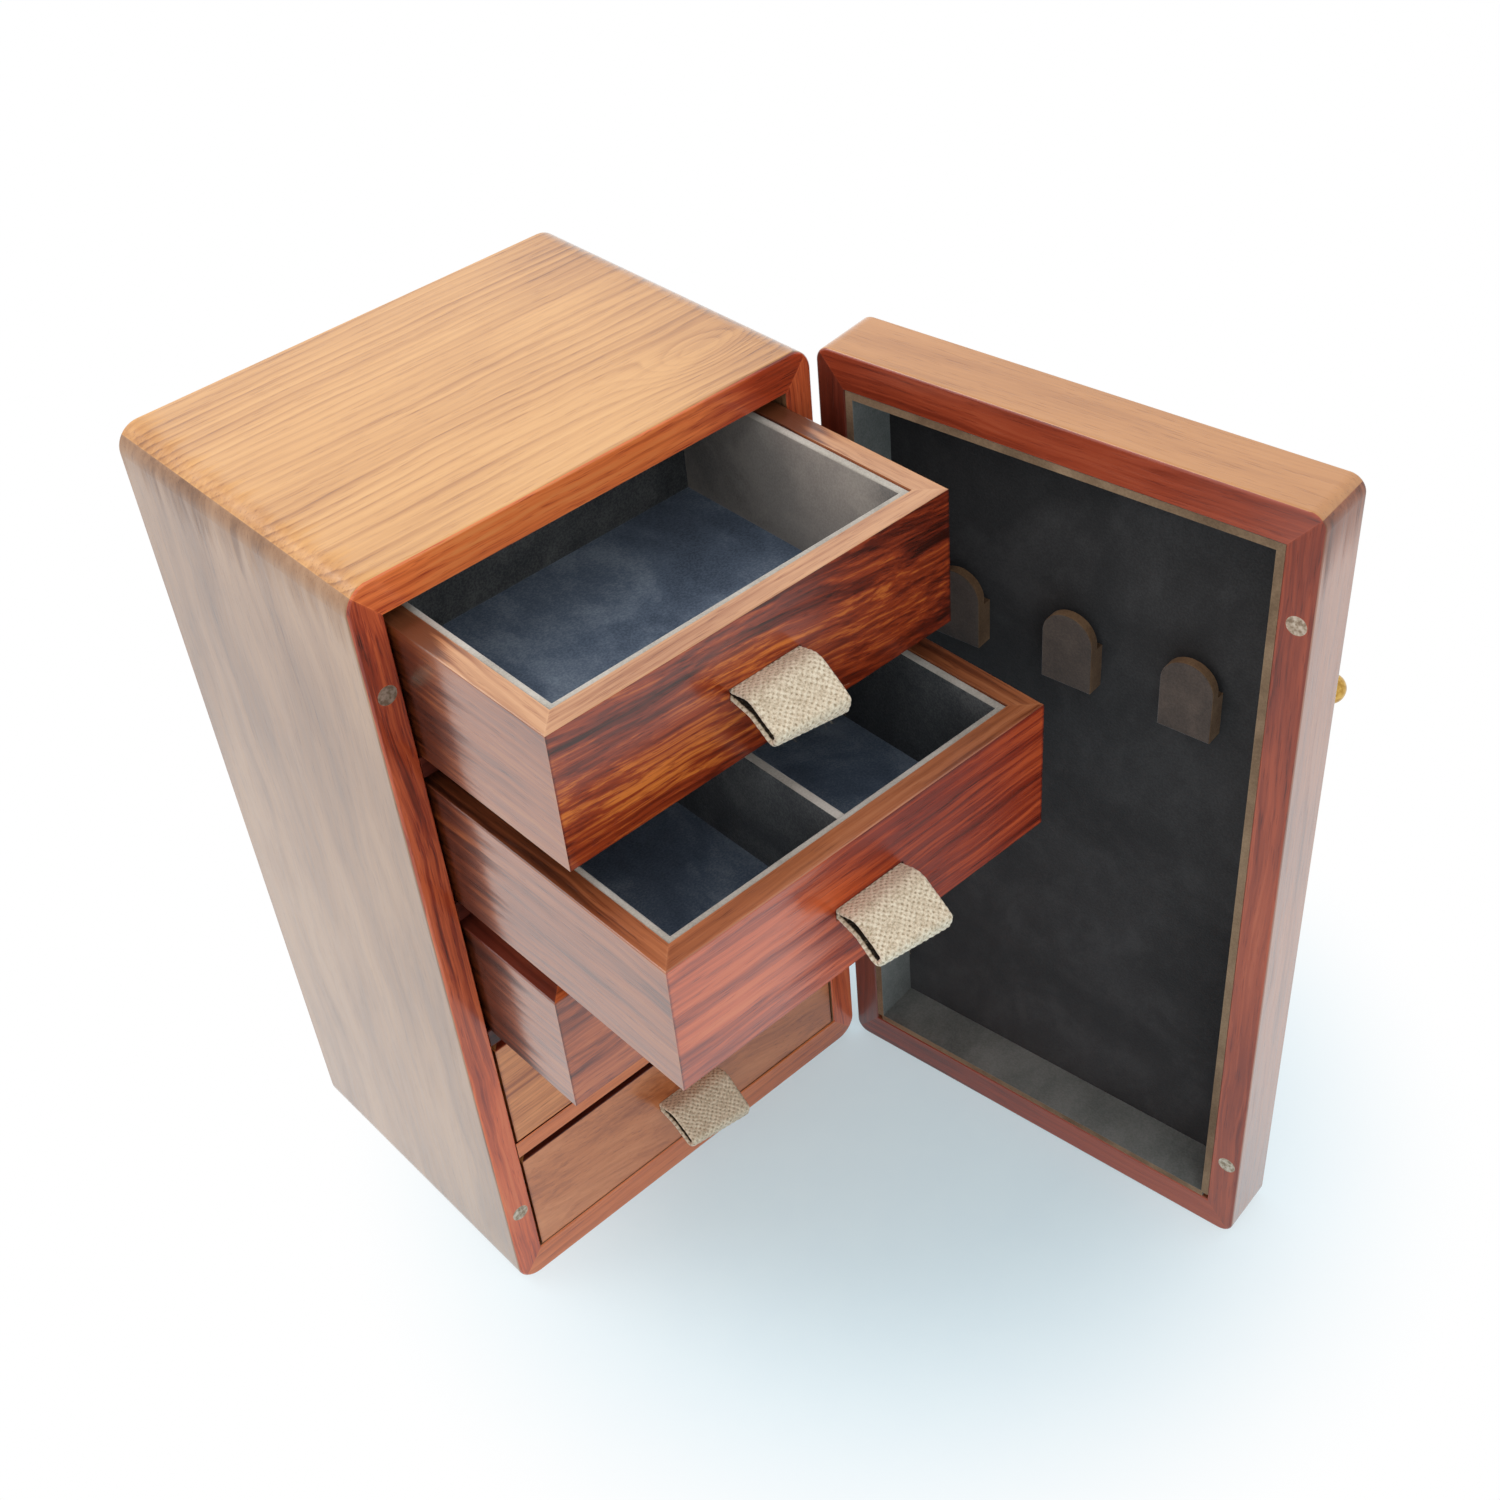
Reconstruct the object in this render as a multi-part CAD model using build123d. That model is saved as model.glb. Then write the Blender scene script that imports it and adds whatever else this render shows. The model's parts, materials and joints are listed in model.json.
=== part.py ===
from build123d import *
import math
import os

# A wooden jewellery cabinet: five lined drawers behind one deep tray-like door.
# Millimetres. X runs left to right across the front, Y runs from the front to the back, Z is up.
# The origin is the middle of the cabinet's underside. The door stands open and three drawers are
# drawn out, which is how the cabinet is shown at rest.

# Cabinet
cabinet_width = 160.0
cabinet_height = 295.0
cabinet_depth = 118.0
side_board = 10.0
top_board = 12.0
bottom_board = 12.0
cabinet_corner_radius = 8.0
outer_edge_round = 1.0
inner_edge_bevel = 0.4
back_panel_thickness = 4.0
back_rebate = 4.0
shelf_thickness = 7.0
shelf_housing = 3.0
shelf_housing_stop = 8.0
shelf_edge_bevel = 0.3

# Drawers, counted from the top
drawer_count = 5
first_drawer_out = 65.0
second_drawer_out = 100.0
third_drawer_out = 43.0
drawer_side_gap = 1.0
drawer_top_gap = 3.7
drawer_floor_gap = 0.3
drawer_rear_gap = 2.0
drawer_set_back = 0.6
drawer_wall = 7.0
drawer_edge_round = 0.5
drawer_bottom_thickness = 2.5
drawer_bottom_lift = 1.5
drawer_bottom_groove = 3.0
lining_floor_thickness = 1.5
lining_wall_thickness = 2.5
lining_top_drop = 0.5
lining_edge_round = 0.8
divided_drawer = "drawer_2"
divider_thickness = 3.0
divider_top_drop = 0.6

# Woven pull loops, threaded through a slot in each drawer front
pull_width = 25.0
pull_thickness = 2.0
pull_layer_gap = 0.2
pull_slot_clearance = 0.1
pull_tail_length = 8.0
pull_reach = 16.6
pull_crown_out = 6.5
pull_crown_rise = 1.9
pull_nose_drop = 3.6
pull_belly_out = 13.6
pull_belly_drop = 7.4
pull_waist_out = 6.0
pull_waist_drop = 3.0
pull_tail_bend = 1.2
pull_soft_bend = 5.0
pull_nose_bend = 1.8
pull_root_bend = 2.5

# Door, a shallow tray with the cabinet's outline
door_edge_reveal = 1.0
door_depth = 22.0
door_corner_radius = 5.0
door_gap = 1.0
door_floor_clearance = 0.5
door_panel_thickness = 3.0
door_panel_rebate = 4.0
door_open_angle = 98.0
door_lining_thickness = 1.5
door_strip_thickness = 2.5
door_strip_set_back = 0.3
door_strip_corner_hole = 2.0

# Necklace hooks inside the door
hook_count = 3
hook_width = 17.0
hook_height = 25.5
hook_plate_thickness = 3.0
hook_spacer_thickness = 3.0
hook_spacer_height = 15.0
hook_bottom_height = 198.0
hook_edge_round = 0.3

# Hinges
hinge_length = 30.0
hinge_from_end = 60.0
hinge_axis_out = 0.5
hinge_leaf_width = 9.3
hinge_leaf_thickness = 0.9
hinge_barrel_radius = 1.6
hinge_pin_radius = 0.8
hinge_pin_running_gap = 0.05
hinge_pin_head_radius = 1.4
hinge_pin_head_height = 0.7
hinge_knuckle_count = 3
hinge_knuckle_gap = 0.3
hinge_notch_gap = 0.4
hinge_notch_overrun = 1.6

# Hinge screws
screw_from_middle = 9.0
screw_from_axis = 5.4
screw_head_radius = 1.6
screw_shank_radius = 0.8
screw_length = 7.0
screw_slot_width = 0.4
screw_slot_depth = 0.3

# Closing magnets
magnet_radius = 3.0
magnet_thickness = 3.0
magnet_from_side = 5.5
magnet_from_end = 35.5

# Turned brass knob on the door's face, near the free edge
knob_from_edge = 5.5
knob_height_up = 218.0
knob_flange_radius = 3.6
knob_flange_height = 1.0
knob_neck_radius = 1.9
knob_neck_height = 3.2
knob_ball_radius = 4.4
knob_stud_radius = 1.2
knob_stud_in_wood = 9.0
knob_stud_in_knob = 6.0

# One overrun serves every cut that has to pass a face
cut_overrun = 1.0

# Sizes worked out from the ones above
front_y = -cabinet_depth / 2
back_y = cabinet_depth / 2
half_width = cabinet_width / 2
opening_width = cabinet_width - 2 * side_board
opening_top = cabinet_height - top_board
inside_depth = cabinet_depth - back_panel_thickness
shelf_total = (drawer_count - 1) * shelf_thickness
bay_height = (opening_top - bottom_board - shelf_total) / drawer_count
bay_pitch = bay_height + shelf_thickness

drawn_out = {1: first_drawer_out, 2: second_drawer_out, 3: third_drawer_out}
drawer_width = opening_width - 2 * drawer_side_gap
drawer_height = bay_height - drawer_top_gap - drawer_floor_gap
drawer_depth = inside_depth - drawer_set_back - drawer_rear_gap
lining_floor_z = drawer_bottom_lift + drawer_bottom_thickness
lining_wall_z = lining_floor_z + lining_floor_thickness
lining_top_z = drawer_height - lining_top_drop

door_width = cabinet_width - door_edge_reveal
hinge_axis_x = half_width + hinge_axis_out
hinge_axis_y = front_y - door_gap / 2
door_face_y = front_y - door_gap
door_left_x = half_width - door_width
door_height = cabinet_height - 2 * door_floor_clearance
door_low_z = door_floor_clearance
door_high_z = door_floor_clearance + door_height
door_outer_y = door_face_y - door_depth
door_panel_y = door_outer_y + door_panel_thickness
door_lining_y = door_panel_y + door_lining_thickness
door_strip_y = door_face_y - door_strip_set_back


def block(x_pair, y_pair, z_pair):
    """A plain block between two corners."""
    size = [high - low for low, high in (x_pair, y_pair, z_pair)]
    middle = [(high + low) / 2 for low, high in (x_pair, y_pair, z_pair)]
    return Pos(*middle) * Box(*size)


def prism(points, plane, amount):
    """A flat outline through the given points, drawn on a plane and pushed along its normal."""
    outline = make_face(Polyline(*points, close=True))
    return extrude(plane * outline, amount=amount)


def wall_plane(y):
    """An upright plane across the front, with X to the right, Z up and its normal towards the back."""
    return Plane(origin=(0, y, 0), x_dir=(1, 0, 0), z_dir=(0, -1, 0))


def rounded_slab(x_pair, y_pair, z_pair, corner_radius):
    """The outer form of the cabinet or of the door: a block with round long edges and eased faces."""
    slab = block(x_pair, y_pair, z_pair)
    slab = fillet(slab.edges().filter_by(Axis.Y), radius=corner_radius)
    rims = slab.faces().filter_by(Axis.Y).edges()
    return fillet(rims, radius=outer_edge_round)


def mitred_frame(slab, x_pair, y_pair, z_pair, side, top, bottom):
    """Four boards that meet at mitres, cut from the slab: top, bottom, left and right."""
    (x0, x1), (z0, z1) = x_pair, z_pair
    outer = [(x0, z0), (x1, z0), (x1, z1), (x0, z1)]
    inner = [(x0 + side, z0 + bottom), (x1 - side, z0 + bottom), (x1 - side, z1 - top), (x0 + side, z1 - top)]
    corners = {
        "bottom": [outer[0], outer[1], inner[1], inner[0]],
        "right": [outer[1], outer[2], inner[2], inner[1]],
        "top": [outer[2], outer[3], inner[3], inner[2]],
        "left": [outer[3], outer[0], inner[0], inner[3]],
    }
    depth = y_pair[1] - y_pair[0]
    return {name: slab & prism(points, wall_plane(y_pair[1]), depth) for name, points in corners.items()}


def opening_bevel(x_pair, z_pair, face_y, towards):
    """A shallow cutter that eases the inner arris of a frame at one face."""
    width = x_pair[1] - x_pair[0] + 2 * inner_edge_bevel
    height = z_pair[1] - z_pair[0] + 2 * inner_edge_bevel
    middle = ((x_pair[0] + x_pair[1]) / 2, face_y, (z_pair[0] + z_pair[1]) / 2)
    plane = Plane(origin=middle, x_dir=(1, 0, 0), z_dir=(0, towards, 0))
    return extrude(plane * Rectangle(width, height), amount=inner_edge_bevel, taper=45)


def knuckle_bands(middle_z):
    """The stretches of the barrel, from the lowest up, with a running gap between neighbours."""
    pitch = hinge_length / hinge_knuckle_count
    start = middle_z - hinge_length / 2
    bands = []
    for index in range(hinge_knuckle_count):
        low = start + index * pitch + (hinge_knuckle_gap / 2 if index else 0)
        high = start + (index + 1) * pitch - (hinge_knuckle_gap / 2 if index < hinge_knuckle_count - 1 else 0)
        bands.append((low, high))
    return bands


def axis_rod(radius, z_pair):
    """A round rod on the hinge axis."""
    rod = Cylinder(radius, z_pair[1] - z_pair[0])
    return Pos(hinge_axis_x, hinge_axis_y, (z_pair[0] + z_pair[1]) / 2) * rod


def hinge_middles():
    """The heights of the two hinges."""
    return [hinge_from_end, cabinet_height - hinge_from_end]


def hinge_notches():
    """The round notch that each barrel and its pin heads turn in."""
    reach = hinge_length / 2 + hinge_notch_overrun
    radius = hinge_barrel_radius + hinge_notch_gap
    return [axis_rod(radius, (middle - reach, middle + reach)) for middle in hinge_middles()]


def hinge_leaf(middle_z, face_y, into_wood, own_knuckles):
    """A flat leaf let into the wood behind one face, rolled into its own knuckles."""
    low, high = middle_z - hinge_length / 2, middle_z + hinge_length / 2
    back = face_y + into_wood * hinge_leaf_thickness
    leaf = block(
        (hinge_axis_x - hinge_leaf_width, hinge_axis_x),
        (min(face_y, back), max(face_y, back)),
        (low, high),
    )
    bands = knuckle_bands(middle_z)
    for index, band in enumerate(bands):
        if index in own_knuckles:
            leaf += axis_rod(hinge_barrel_radius, band)
        else:
            room = (band[0] - hinge_knuckle_gap, band[1] + hinge_knuckle_gap)
            leaf -= axis_rod(hinge_barrel_radius + hinge_knuckle_gap, room)
    bore = hinge_pin_radius + hinge_pin_running_gap
    leaf -= axis_rod(bore, (low - cut_overrun, high + cut_overrun))
    for screw in leaf_screws(middle_z, face_y, into_wood):
        leaf -= screw
    return leaf.solid()


def leaf_screws(middle_z, face_y, into_wood):
    """Two countersunk slotted screws for one leaf, heads flush with the leaf's face."""
    screws = []
    for step in (-1, 1):
        place = Plane(
            origin=(hinge_axis_x - screw_from_axis, face_y, middle_z + step * screw_from_middle),
            x_dir=(1, 0, 0),
            z_dir=(0, into_wood, 0),
        )
        head = Cone(
            screw_head_radius,
            screw_shank_radius,
            hinge_leaf_thickness,
            align=(Align.CENTER, Align.CENTER, Align.MIN),
        )
        shank = Cylinder(
            screw_shank_radius,
            screw_length,
            align=(Align.CENTER, Align.CENTER, Align.MIN),
        )
        screws.append(place * (head + shank))
    return screws


def slotted(screws, face_y, into_wood):
    """The same screws with their driver slots cut."""
    cut = []
    for screw in screws:
        middle = screw.bounding_box().center()
        deep = face_y + into_wood * screw_slot_depth
        slot = block(
            (middle.X - screw_slot_width / 2, middle.X + screw_slot_width / 2),
            (min(deep, face_y), max(deep, face_y)),
            (middle.Z - screw_head_radius, middle.Z + screw_head_radius),
        )
        cut.append((screw - slot).solid())
    return cut


def hinge_pin(middle_z):
    """A headed pin through all the knuckles of one hinge."""
    low, high = middle_z - hinge_length / 2, middle_z + hinge_length / 2
    pin = axis_rod(hinge_pin_radius, (low, high))
    pin += axis_rod(hinge_pin_head_radius, (high, high + hinge_pin_head_height))
    pin += axis_rod(hinge_pin_head_radius, (low - hinge_pin_head_height, low))
    return pin.solid()


def magnet(x, face_y, z, into_wood):
    """A disc magnet let flush into a face."""
    back = face_y + into_wood * magnet_thickness
    disc = Cylinder(magnet_radius, magnet_thickness, rotation=(90, 0, 0))
    return (Pos(x, (face_y + back) / 2, z) * disc).solid()


def magnet_heights():
    """The heights of the two closing magnets."""
    return [magnet_from_end, cabinet_height - magnet_from_end]


def bay_floor(number):
    """The height of the floor of one drawer bay."""
    return bottom_board + (drawer_count - number) * bay_pitch


def drawer_shelf(number):
    """The board under one drawer bay, with tongues that stop short of the front."""
    high = bay_floor(number)
    z_pair = (high - shelf_thickness, high)
    half = opening_width / 2
    board = block((-half, half), (front_y, back_y - back_panel_thickness), z_pair)
    bevelled = board.faces().sort_by(Axis.Y)[0].edges().filter_by(Axis.X)
    board = chamfer(bevelled, length=shelf_edge_bevel)
    tongue_half = half + shelf_housing
    tongue_y = (front_y + shelf_housing_stop, back_y - back_panel_thickness)
    board += block((-tongue_half, tongue_half), tongue_y, z_pair)
    return board.solid()


def cabinet_pieces():
    """The carcass: four mitred boards, the back, the shelves and what is let into them."""
    x_pair, y_pair, z_pair = (-half_width, half_width), (front_y, back_y), (0, cabinet_height)
    slab = rounded_slab(x_pair, y_pair, z_pair, cabinet_corner_radius)
    boards = mitred_frame(slab, x_pair, y_pair, z_pair, side_board, top_board, bottom_board)

    half = opening_width / 2
    panel_half = half + back_rebate
    panel_z = (bottom_board - back_rebate, opening_top + back_rebate)
    panel = block((-panel_half, panel_half), (back_y - back_panel_thickness, back_y), panel_z)
    bevel = opening_bevel((-half, half), (bottom_board, opening_top), front_y, 1)
    boards = {name: board - panel - bevel for name, board in boards.items()}

    shelves = {number: drawer_shelf(number) for number in range(1, drawer_count)}
    for shelf in shelves.values():
        boards["left"] -= shelf
        boards["right"] -= shelf

    middles = hinge_middles()
    leaves = [hinge_leaf(z, front_y, 1, (0, 2)) for z in middles]
    screws = [screw for z in middles for screw in leaf_screws(z, front_y, 1)]
    magnets = [magnet(magnet_from_side - half_width, front_y, z, 1) for z in magnet_heights()]
    for piece in leaves + screws + hinge_notches():
        boards["right"] -= piece
    for piece in magnets:
        boards["left"] -= piece

    pieces = {
        "cabinet_top": boards["top"],
        "cabinet_bottom": boards["bottom"],
        "cabinet_left_side": boards["left"],
        "cabinet_right_side": boards["right"],
        "cabinet_back": panel,
        "cabinet_magnets": magnets,
        "cabinet_hinge_leaves": leaves,
        "cabinet_hinge_screws": slotted(screws, front_y, 1),
        "hinge_pins": [hinge_pin(z) for z in middles],
    }
    for number, shelf in shelves.items():
        pieces[f"drawer_shelf_{number}"] = shelf
    return pieces


def pull_centre_line():
    """The middle of the webbing, seen from the side: distance out of the front, then height."""
    layer = (pull_thickness + pull_layer_gap) / 2
    inside = -(drawer_wall - pull_thickness / 2 - pull_slot_clearance)
    points = [
        (inside, layer + pull_tail_length),
        (inside, layer),
        (0, layer),
        (pull_crown_out, pull_crown_rise),
        (pull_reach, -pull_nose_drop),
        (pull_belly_out, -pull_belly_drop),
        (pull_waist_out, -pull_waist_drop),
        (0, -layer),
        (inside, -layer),
        (inside, -layer - pull_tail_length),
    ]
    bends = [
        pull_tail_bend,
        pull_root_bend,
        pull_soft_bend,
        pull_nose_bend,
        pull_nose_bend,
        pull_soft_bend,
        pull_root_bend,
        pull_tail_bend,
    ]
    return points, bends


def beside(points, distance):
    """The corners of a line that runs beside the given one, at a set distance on its left."""
    moved = []
    for index, (x, y) in enumerate(points):
        before = points[max(index - 1, 0)]
        after = points[min(index + 1, len(points) - 1)]
        here = (x, y)
        arms = [(a, b) for a, b in ((before, here), (here, after)) if a != b]
        normals = []
        for (x0, y0), (x1, y1) in arms:
            length = math.hypot(x1 - x0, y1 - y0)
            normals.append(((y0 - y1) / length, (x1 - x0) / length))
        nx = sum(n[0] for n in normals) / len(normals)
        ny = sum(n[1] for n in normals) / len(normals)
        scale = distance / (nx * nx + ny * ny)
        moved.append((x + nx * scale, y + ny * scale))
    return moved


def turns_left(points, index):
    """Whether the line bends to its left at a corner."""
    (x0, y0), (x1, y1), (x2, y2) = points[index - 1 : index + 2]
    return (x1 - x0) * (y2 - y1) - (y1 - y0) * (x2 - x1) > 0


def webbing_edge(points, bends, side):
    """One face of the webbing as a filleted line, on the left for 1 and the right for -1."""
    half = pull_thickness / 2
    corners = beside(points, side * half)
    radii = []
    for index, bend in enumerate(bends, start=1):
        inner = turns_left(points, index) == (side > 0)
        radii.append(bend - half if inner else bend + half)
    return corners, FilletPolyline(*corners, radius=radii)


def pull_loop():
    """The folded webbing band of one pull, at the origin of its slot, reaching out along -Y."""
    points, bends = pull_centre_line()
    left_corners, left = webbing_edge(points, bends, 1)
    right_corners, right = webbing_edge(points, bends, -1)
    ends = [Line(left_corners[end], right_corners[end]) for end in (0, -1)]
    outline = make_face([*left.edges(), *right.edges(), *[line.edge() for line in ends]])
    plane = Plane(origin=(-pull_width / 2, 0, 0), x_dir=(0, -1, 0), z_dir=(-1, 0, 0))
    return extrude(plane * outline, amount=-pull_width)


def pull_room(slot_y):
    """The slot through the drawer front and the shallow pocket for the tails behind it."""
    half_x = pull_width / 2 + pull_slot_clearance
    slot_half = pull_thickness + pull_layer_gap / 2 + pull_slot_clearance
    pocket_half = pull_thickness / 2 + pull_layer_gap / 2 + pull_tail_length + pull_slot_clearance
    pocket_depth = pull_thickness + 2 * pull_slot_clearance
    slot = block((-half_x, half_x), (-cut_overrun, drawer_wall), (-slot_half, slot_half))
    pocket = block((-half_x, half_x), (drawer_wall - pocket_depth, drawer_wall), (-pocket_half, pocket_half))
    return Pos(0, slot_y, 0) * (slot + pocket)


def drawer_box():
    """The four mitred walls of a drawer, its front face at y = 0 and its lower edge at z = 0."""
    half = drawer_width / 2
    body = block((-half, half), (0, drawer_depth), (0, drawer_height))
    body = fillet(body.faces().sort_by(Axis.Z)[-1].edges(), radius=drawer_edge_round)
    corners_x = (-half, half)
    inner_x = (-half + drawer_wall, half - drawer_wall)
    inner_y = (drawer_wall, drawer_depth - drawer_wall)
    outer = [(corners_x[0], 0), (corners_x[1], 0), (corners_x[1], drawer_depth), (corners_x[0], drawer_depth)]
    inner = [(inner_x[0], inner_y[0]), (inner_x[1], inner_y[0]), (inner_x[1], inner_y[1]), (inner_x[0], inner_y[1])]
    walls = {}
    for index, name in enumerate(("front", "right", "back", "left")):
        after = (index + 1) % len(outer)
        points = [outer[index], outer[after], inner[after], inner[index]]
        walls[name] = body & prism(points, Plane.XY, drawer_height)
    return walls


def drawer_lining(divided):
    """Thin boards wrapped in suede: a floor, four walls that stand on it and perhaps a divider."""
    x = drawer_width / 2 - drawer_wall
    y_pair = (drawer_wall, drawer_depth - drawer_wall)
    floor = block((-x, x), y_pair, (lining_floor_z, lining_wall_z))
    inner_x = x - lining_wall_thickness
    inner_y = (y_pair[0] + lining_wall_thickness, y_pair[1] - lining_wall_thickness)
    outer = [(-x, y_pair[0]), (x, y_pair[0]), (x, y_pair[1]), (-x, y_pair[1])]
    inner = [(-inner_x, inner_y[0]), (inner_x, inner_y[0]), (inner_x, inner_y[1]), (-inner_x, inner_y[1])]
    ring = block((-x, x), y_pair, (lining_wall_z, lining_top_z))
    ring -= block((-inner_x, inner_x), inner_y, (lining_wall_z, lining_top_z))
    ring = fillet(ring.faces().sort_by(Axis.Z)[-1].edges(), radius=lining_edge_round)
    walls = []
    for index in range(len(outer)):
        after = (index + 1) % len(outer)
        points = [outer[index], outer[after], inner[after], inner[index]]
        wedge = prism(points, Plane.XY.offset(lining_wall_z), lining_top_z - lining_wall_z)
        walls.append((ring & wedge).solid())
    divider = None
    if divided:
        half = divider_thickness / 2
        top = lining_top_z - divider_top_drop
        divider = block((-half, half), inner_y, (lining_wall_z, top))
        crest = divider.faces().sort_by(Axis.Z)[-1].edges().filter_by(Axis.Y)
        divider = fillet(crest, radius=lining_edge_round)
    return [floor.solid(), *walls], divider


def drawer_pieces(number):
    """Everything that slides out with one drawer."""
    walls = drawer_box()
    x = drawer_width / 2 - drawer_wall + drawer_bottom_groove
    y_low = drawer_wall - drawer_bottom_groove
    bottom = block((-x, x), (y_low, drawer_depth - y_low), (drawer_bottom_lift, lining_floor_z))
    slot_z = drawer_height / 2
    room = Pos(0, 0, slot_z) * pull_room(0)
    walls = {name: wall - bottom for name, wall in walls.items()}
    walls["front"] -= room
    lining, divider = drawer_lining(divided_drawer == f"drawer_{number}")
    pieces = {
        "front": walls["front"],
        "sides": [walls["left"].solid(), walls["right"].solid()],
        "back": walls["back"],
        "bottom": bottom,
        "lining": lining,
        "pull": Pos(0, 0, slot_z) * pull_loop(),
    }
    if divider is not None:
        pieces["divider"] = divider
    out = drawn_out.get(number, 0)
    place = Pos(0, front_y + drawer_set_back - out, bay_floor(number) + drawer_floor_gap)
    placed = {}
    for name, piece in pieces.items():
        solids = piece if isinstance(piece, list) else [piece]
        placed[f"drawer_{number}_{name}"] = [place * solid for solid in solids]
    return placed


def swung_open(piece):
    """A door piece turned from its closed place to its open one."""
    axis = Axis((hinge_axis_x, hinge_axis_y, 0), (0, 0, 1))
    return piece.rotate(axis, door_open_angle)


def hook_outline(height, arched):
    """The tab of a necklace hook, seen from the front, standing on z = 0."""
    half = hook_width / 2
    if not arched:
        return make_face(Polyline((-half, 0), (half, 0), (half, height), (-half, height), close=True))
    shoulder = height - half
    sides = Polyline((-half, shoulder), (-half, 0), (half, 0), (half, shoulder))
    arch = ThreePointArc((half, shoulder), (0, height), (-half, shoulder))
    return make_face([*sides.edges(), arch.edge()])


def door_hooks():
    """Three hooks in a row, each a spacer block on the lining with an arched plate on it."""
    plates, spacers = [], []
    spacer_face_y = door_lining_y + hook_spacer_thickness
    plate_face_y = spacer_face_y + hook_plate_thickness
    for index in range(hook_count):
        x = half_width - door_width * (index + 1) / (hook_count + 1)
        for pieces, face_y, height, thickness, arched in (
            (spacers, spacer_face_y, hook_spacer_height, hook_spacer_thickness, False),
            (plates, plate_face_y, hook_height, hook_plate_thickness, True),
        ):
            plane = Plane(origin=(x, face_y, hook_bottom_height), x_dir=(1, 0, 0), z_dir=(0, -1, 0))
            tab = extrude(plane * hook_outline(height, arched), amount=thickness)
            if arched:
                tab = fillet(tab.faces().sort_by(Axis.Y)[-1].edges(), radius=hook_edge_round)
            pieces.append(tab.solid())
    return plates, spacers


def door_knob(x, z):
    """A small turned ball knob that stands out of the door's face, and the stud that holds it."""
    neck_top = knob_flange_height + knob_neck_height
    ball_middle = neck_top + math.sqrt(knob_ball_radius**2 - knob_neck_radius**2)
    top = ball_middle + knob_ball_radius
    foot = Polyline(
        (0, knob_stud_in_knob),
        (knob_stud_radius, knob_stud_in_knob),
        (knob_stud_radius, 0),
        (knob_flange_radius, 0),
        (knob_flange_radius, knob_flange_height),
        (knob_neck_radius, knob_flange_height + knob_flange_height),
        (knob_neck_radius, neck_top),
    )
    ball = ThreePointArc((knob_neck_radius, neck_top), (knob_ball_radius, ball_middle), (0, top))
    outline = make_face([*foot.edges(), ball.edge(), Line((0, top), (0, knob_stud_in_knob)).edge()])
    knob = revolve(Plane.XZ * outline, axis=Axis.Z)
    stud = Pos(0, 0, -knob_stud_in_wood) * Cylinder(
        knob_stud_radius,
        knob_stud_in_wood + knob_stud_in_knob,
        align=(Align.CENTER, Align.CENTER, Align.MIN),
    )
    place = Plane(origin=(x, door_outer_y, z), x_dir=(1, 0, 0), z_dir=(0, -1, 0))
    return place * knob, place * stud


def door_strips():
    """Thin lined boards round the recess walls, mitred, with a small open hole in each low corner."""
    x_pair = (door_left_x + side_board, half_width - side_board)
    z_pair = (door_low_z + bottom_board, door_high_z - top_board)
    y_pair = (door_lining_y, door_strip_y)
    ring = block(x_pair, y_pair, z_pair)
    thickness = (door_strip_thickness, door_strip_thickness, door_strip_thickness)
    strips = mitred_frame(ring, x_pair, y_pair, z_pair, *thickness)
    hole_z = (z_pair[0], z_pair[0] + door_strip_corner_hole)
    holes = block((x_pair[0], x_pair[0] + door_strip_corner_hole), y_pair, hole_z)
    holes += block((x_pair[1] - door_strip_corner_hole, x_pair[1]), y_pair, hole_z)
    return [(strip - holes).solid() for strip in strips.values()]


def door_pieces():
    """The door, made closed and then swung open."""
    x_pair, y_pair = (door_left_x, half_width), (door_outer_y, door_face_y)
    z_pair = (door_low_z, door_high_z)
    slab = rounded_slab(x_pair, y_pair, z_pair, door_corner_radius)
    boards = mitred_frame(slab, x_pair, y_pair, z_pair, side_board, top_board, bottom_board)

    recess_x = (door_left_x + side_board, half_width - side_board)
    recess_z = (door_low_z + bottom_board, door_high_z - top_board)
    panel_x = (recess_x[0] - door_panel_rebate, recess_x[1] + door_panel_rebate)
    panel_z = (recess_z[0] - door_panel_rebate, recess_z[1] + door_panel_rebate)
    panel = block(panel_x, (door_outer_y, door_panel_y), panel_z)
    bevel = opening_bevel(recess_x, recess_z, door_face_y, -1)
    boards = {name: board - panel - bevel for name, board in boards.items()}

    middles = hinge_middles()
    leaves = [hinge_leaf(z, door_face_y, -1, (1,)) for z in middles]
    screws = [screw for z in middles for screw in leaf_screws(z, door_face_y, -1)]
    magnets = [magnet(magnet_from_side - half_width, door_face_y, z, -1) for z in magnet_heights()]
    for piece in leaves + screws + hinge_notches():
        boards["right"] -= piece
    for piece in magnets:
        boards["left"] -= piece
    knob, stud = door_knob(door_left_x + knob_from_edge, knob_height_up)
    boards["left"] -= stud
    panel -= stud

    plates, spacers = door_hooks()
    lining = block(recess_x, (door_panel_y, door_lining_y), recess_z)
    pieces = {
        "door_top_rail": boards["top"],
        "door_bottom_rail": boards["bottom"],
        "door_latch_stile": boards["left"],
        "door_hinge_stile": boards["right"],
        "door_panel": panel,
        "door_lining": lining,
        "door_lining_strips": door_strips(),
        "hook_plates": plates,
        "hook_spacers": spacers,
        "door_magnets": magnets,
        "door_hinge_leaves": leaves,
        "door_hinge_screws": slotted(screws, door_face_y, -1),
        "door_knob": knob,
        "door_knob_stud": stud,
    }
    opened = {}
    for name, piece in pieces.items():
        solids = piece if isinstance(piece, list) else [piece]
        opened[name] = [swung_open(solid) for solid in solids]
    return opened


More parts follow.
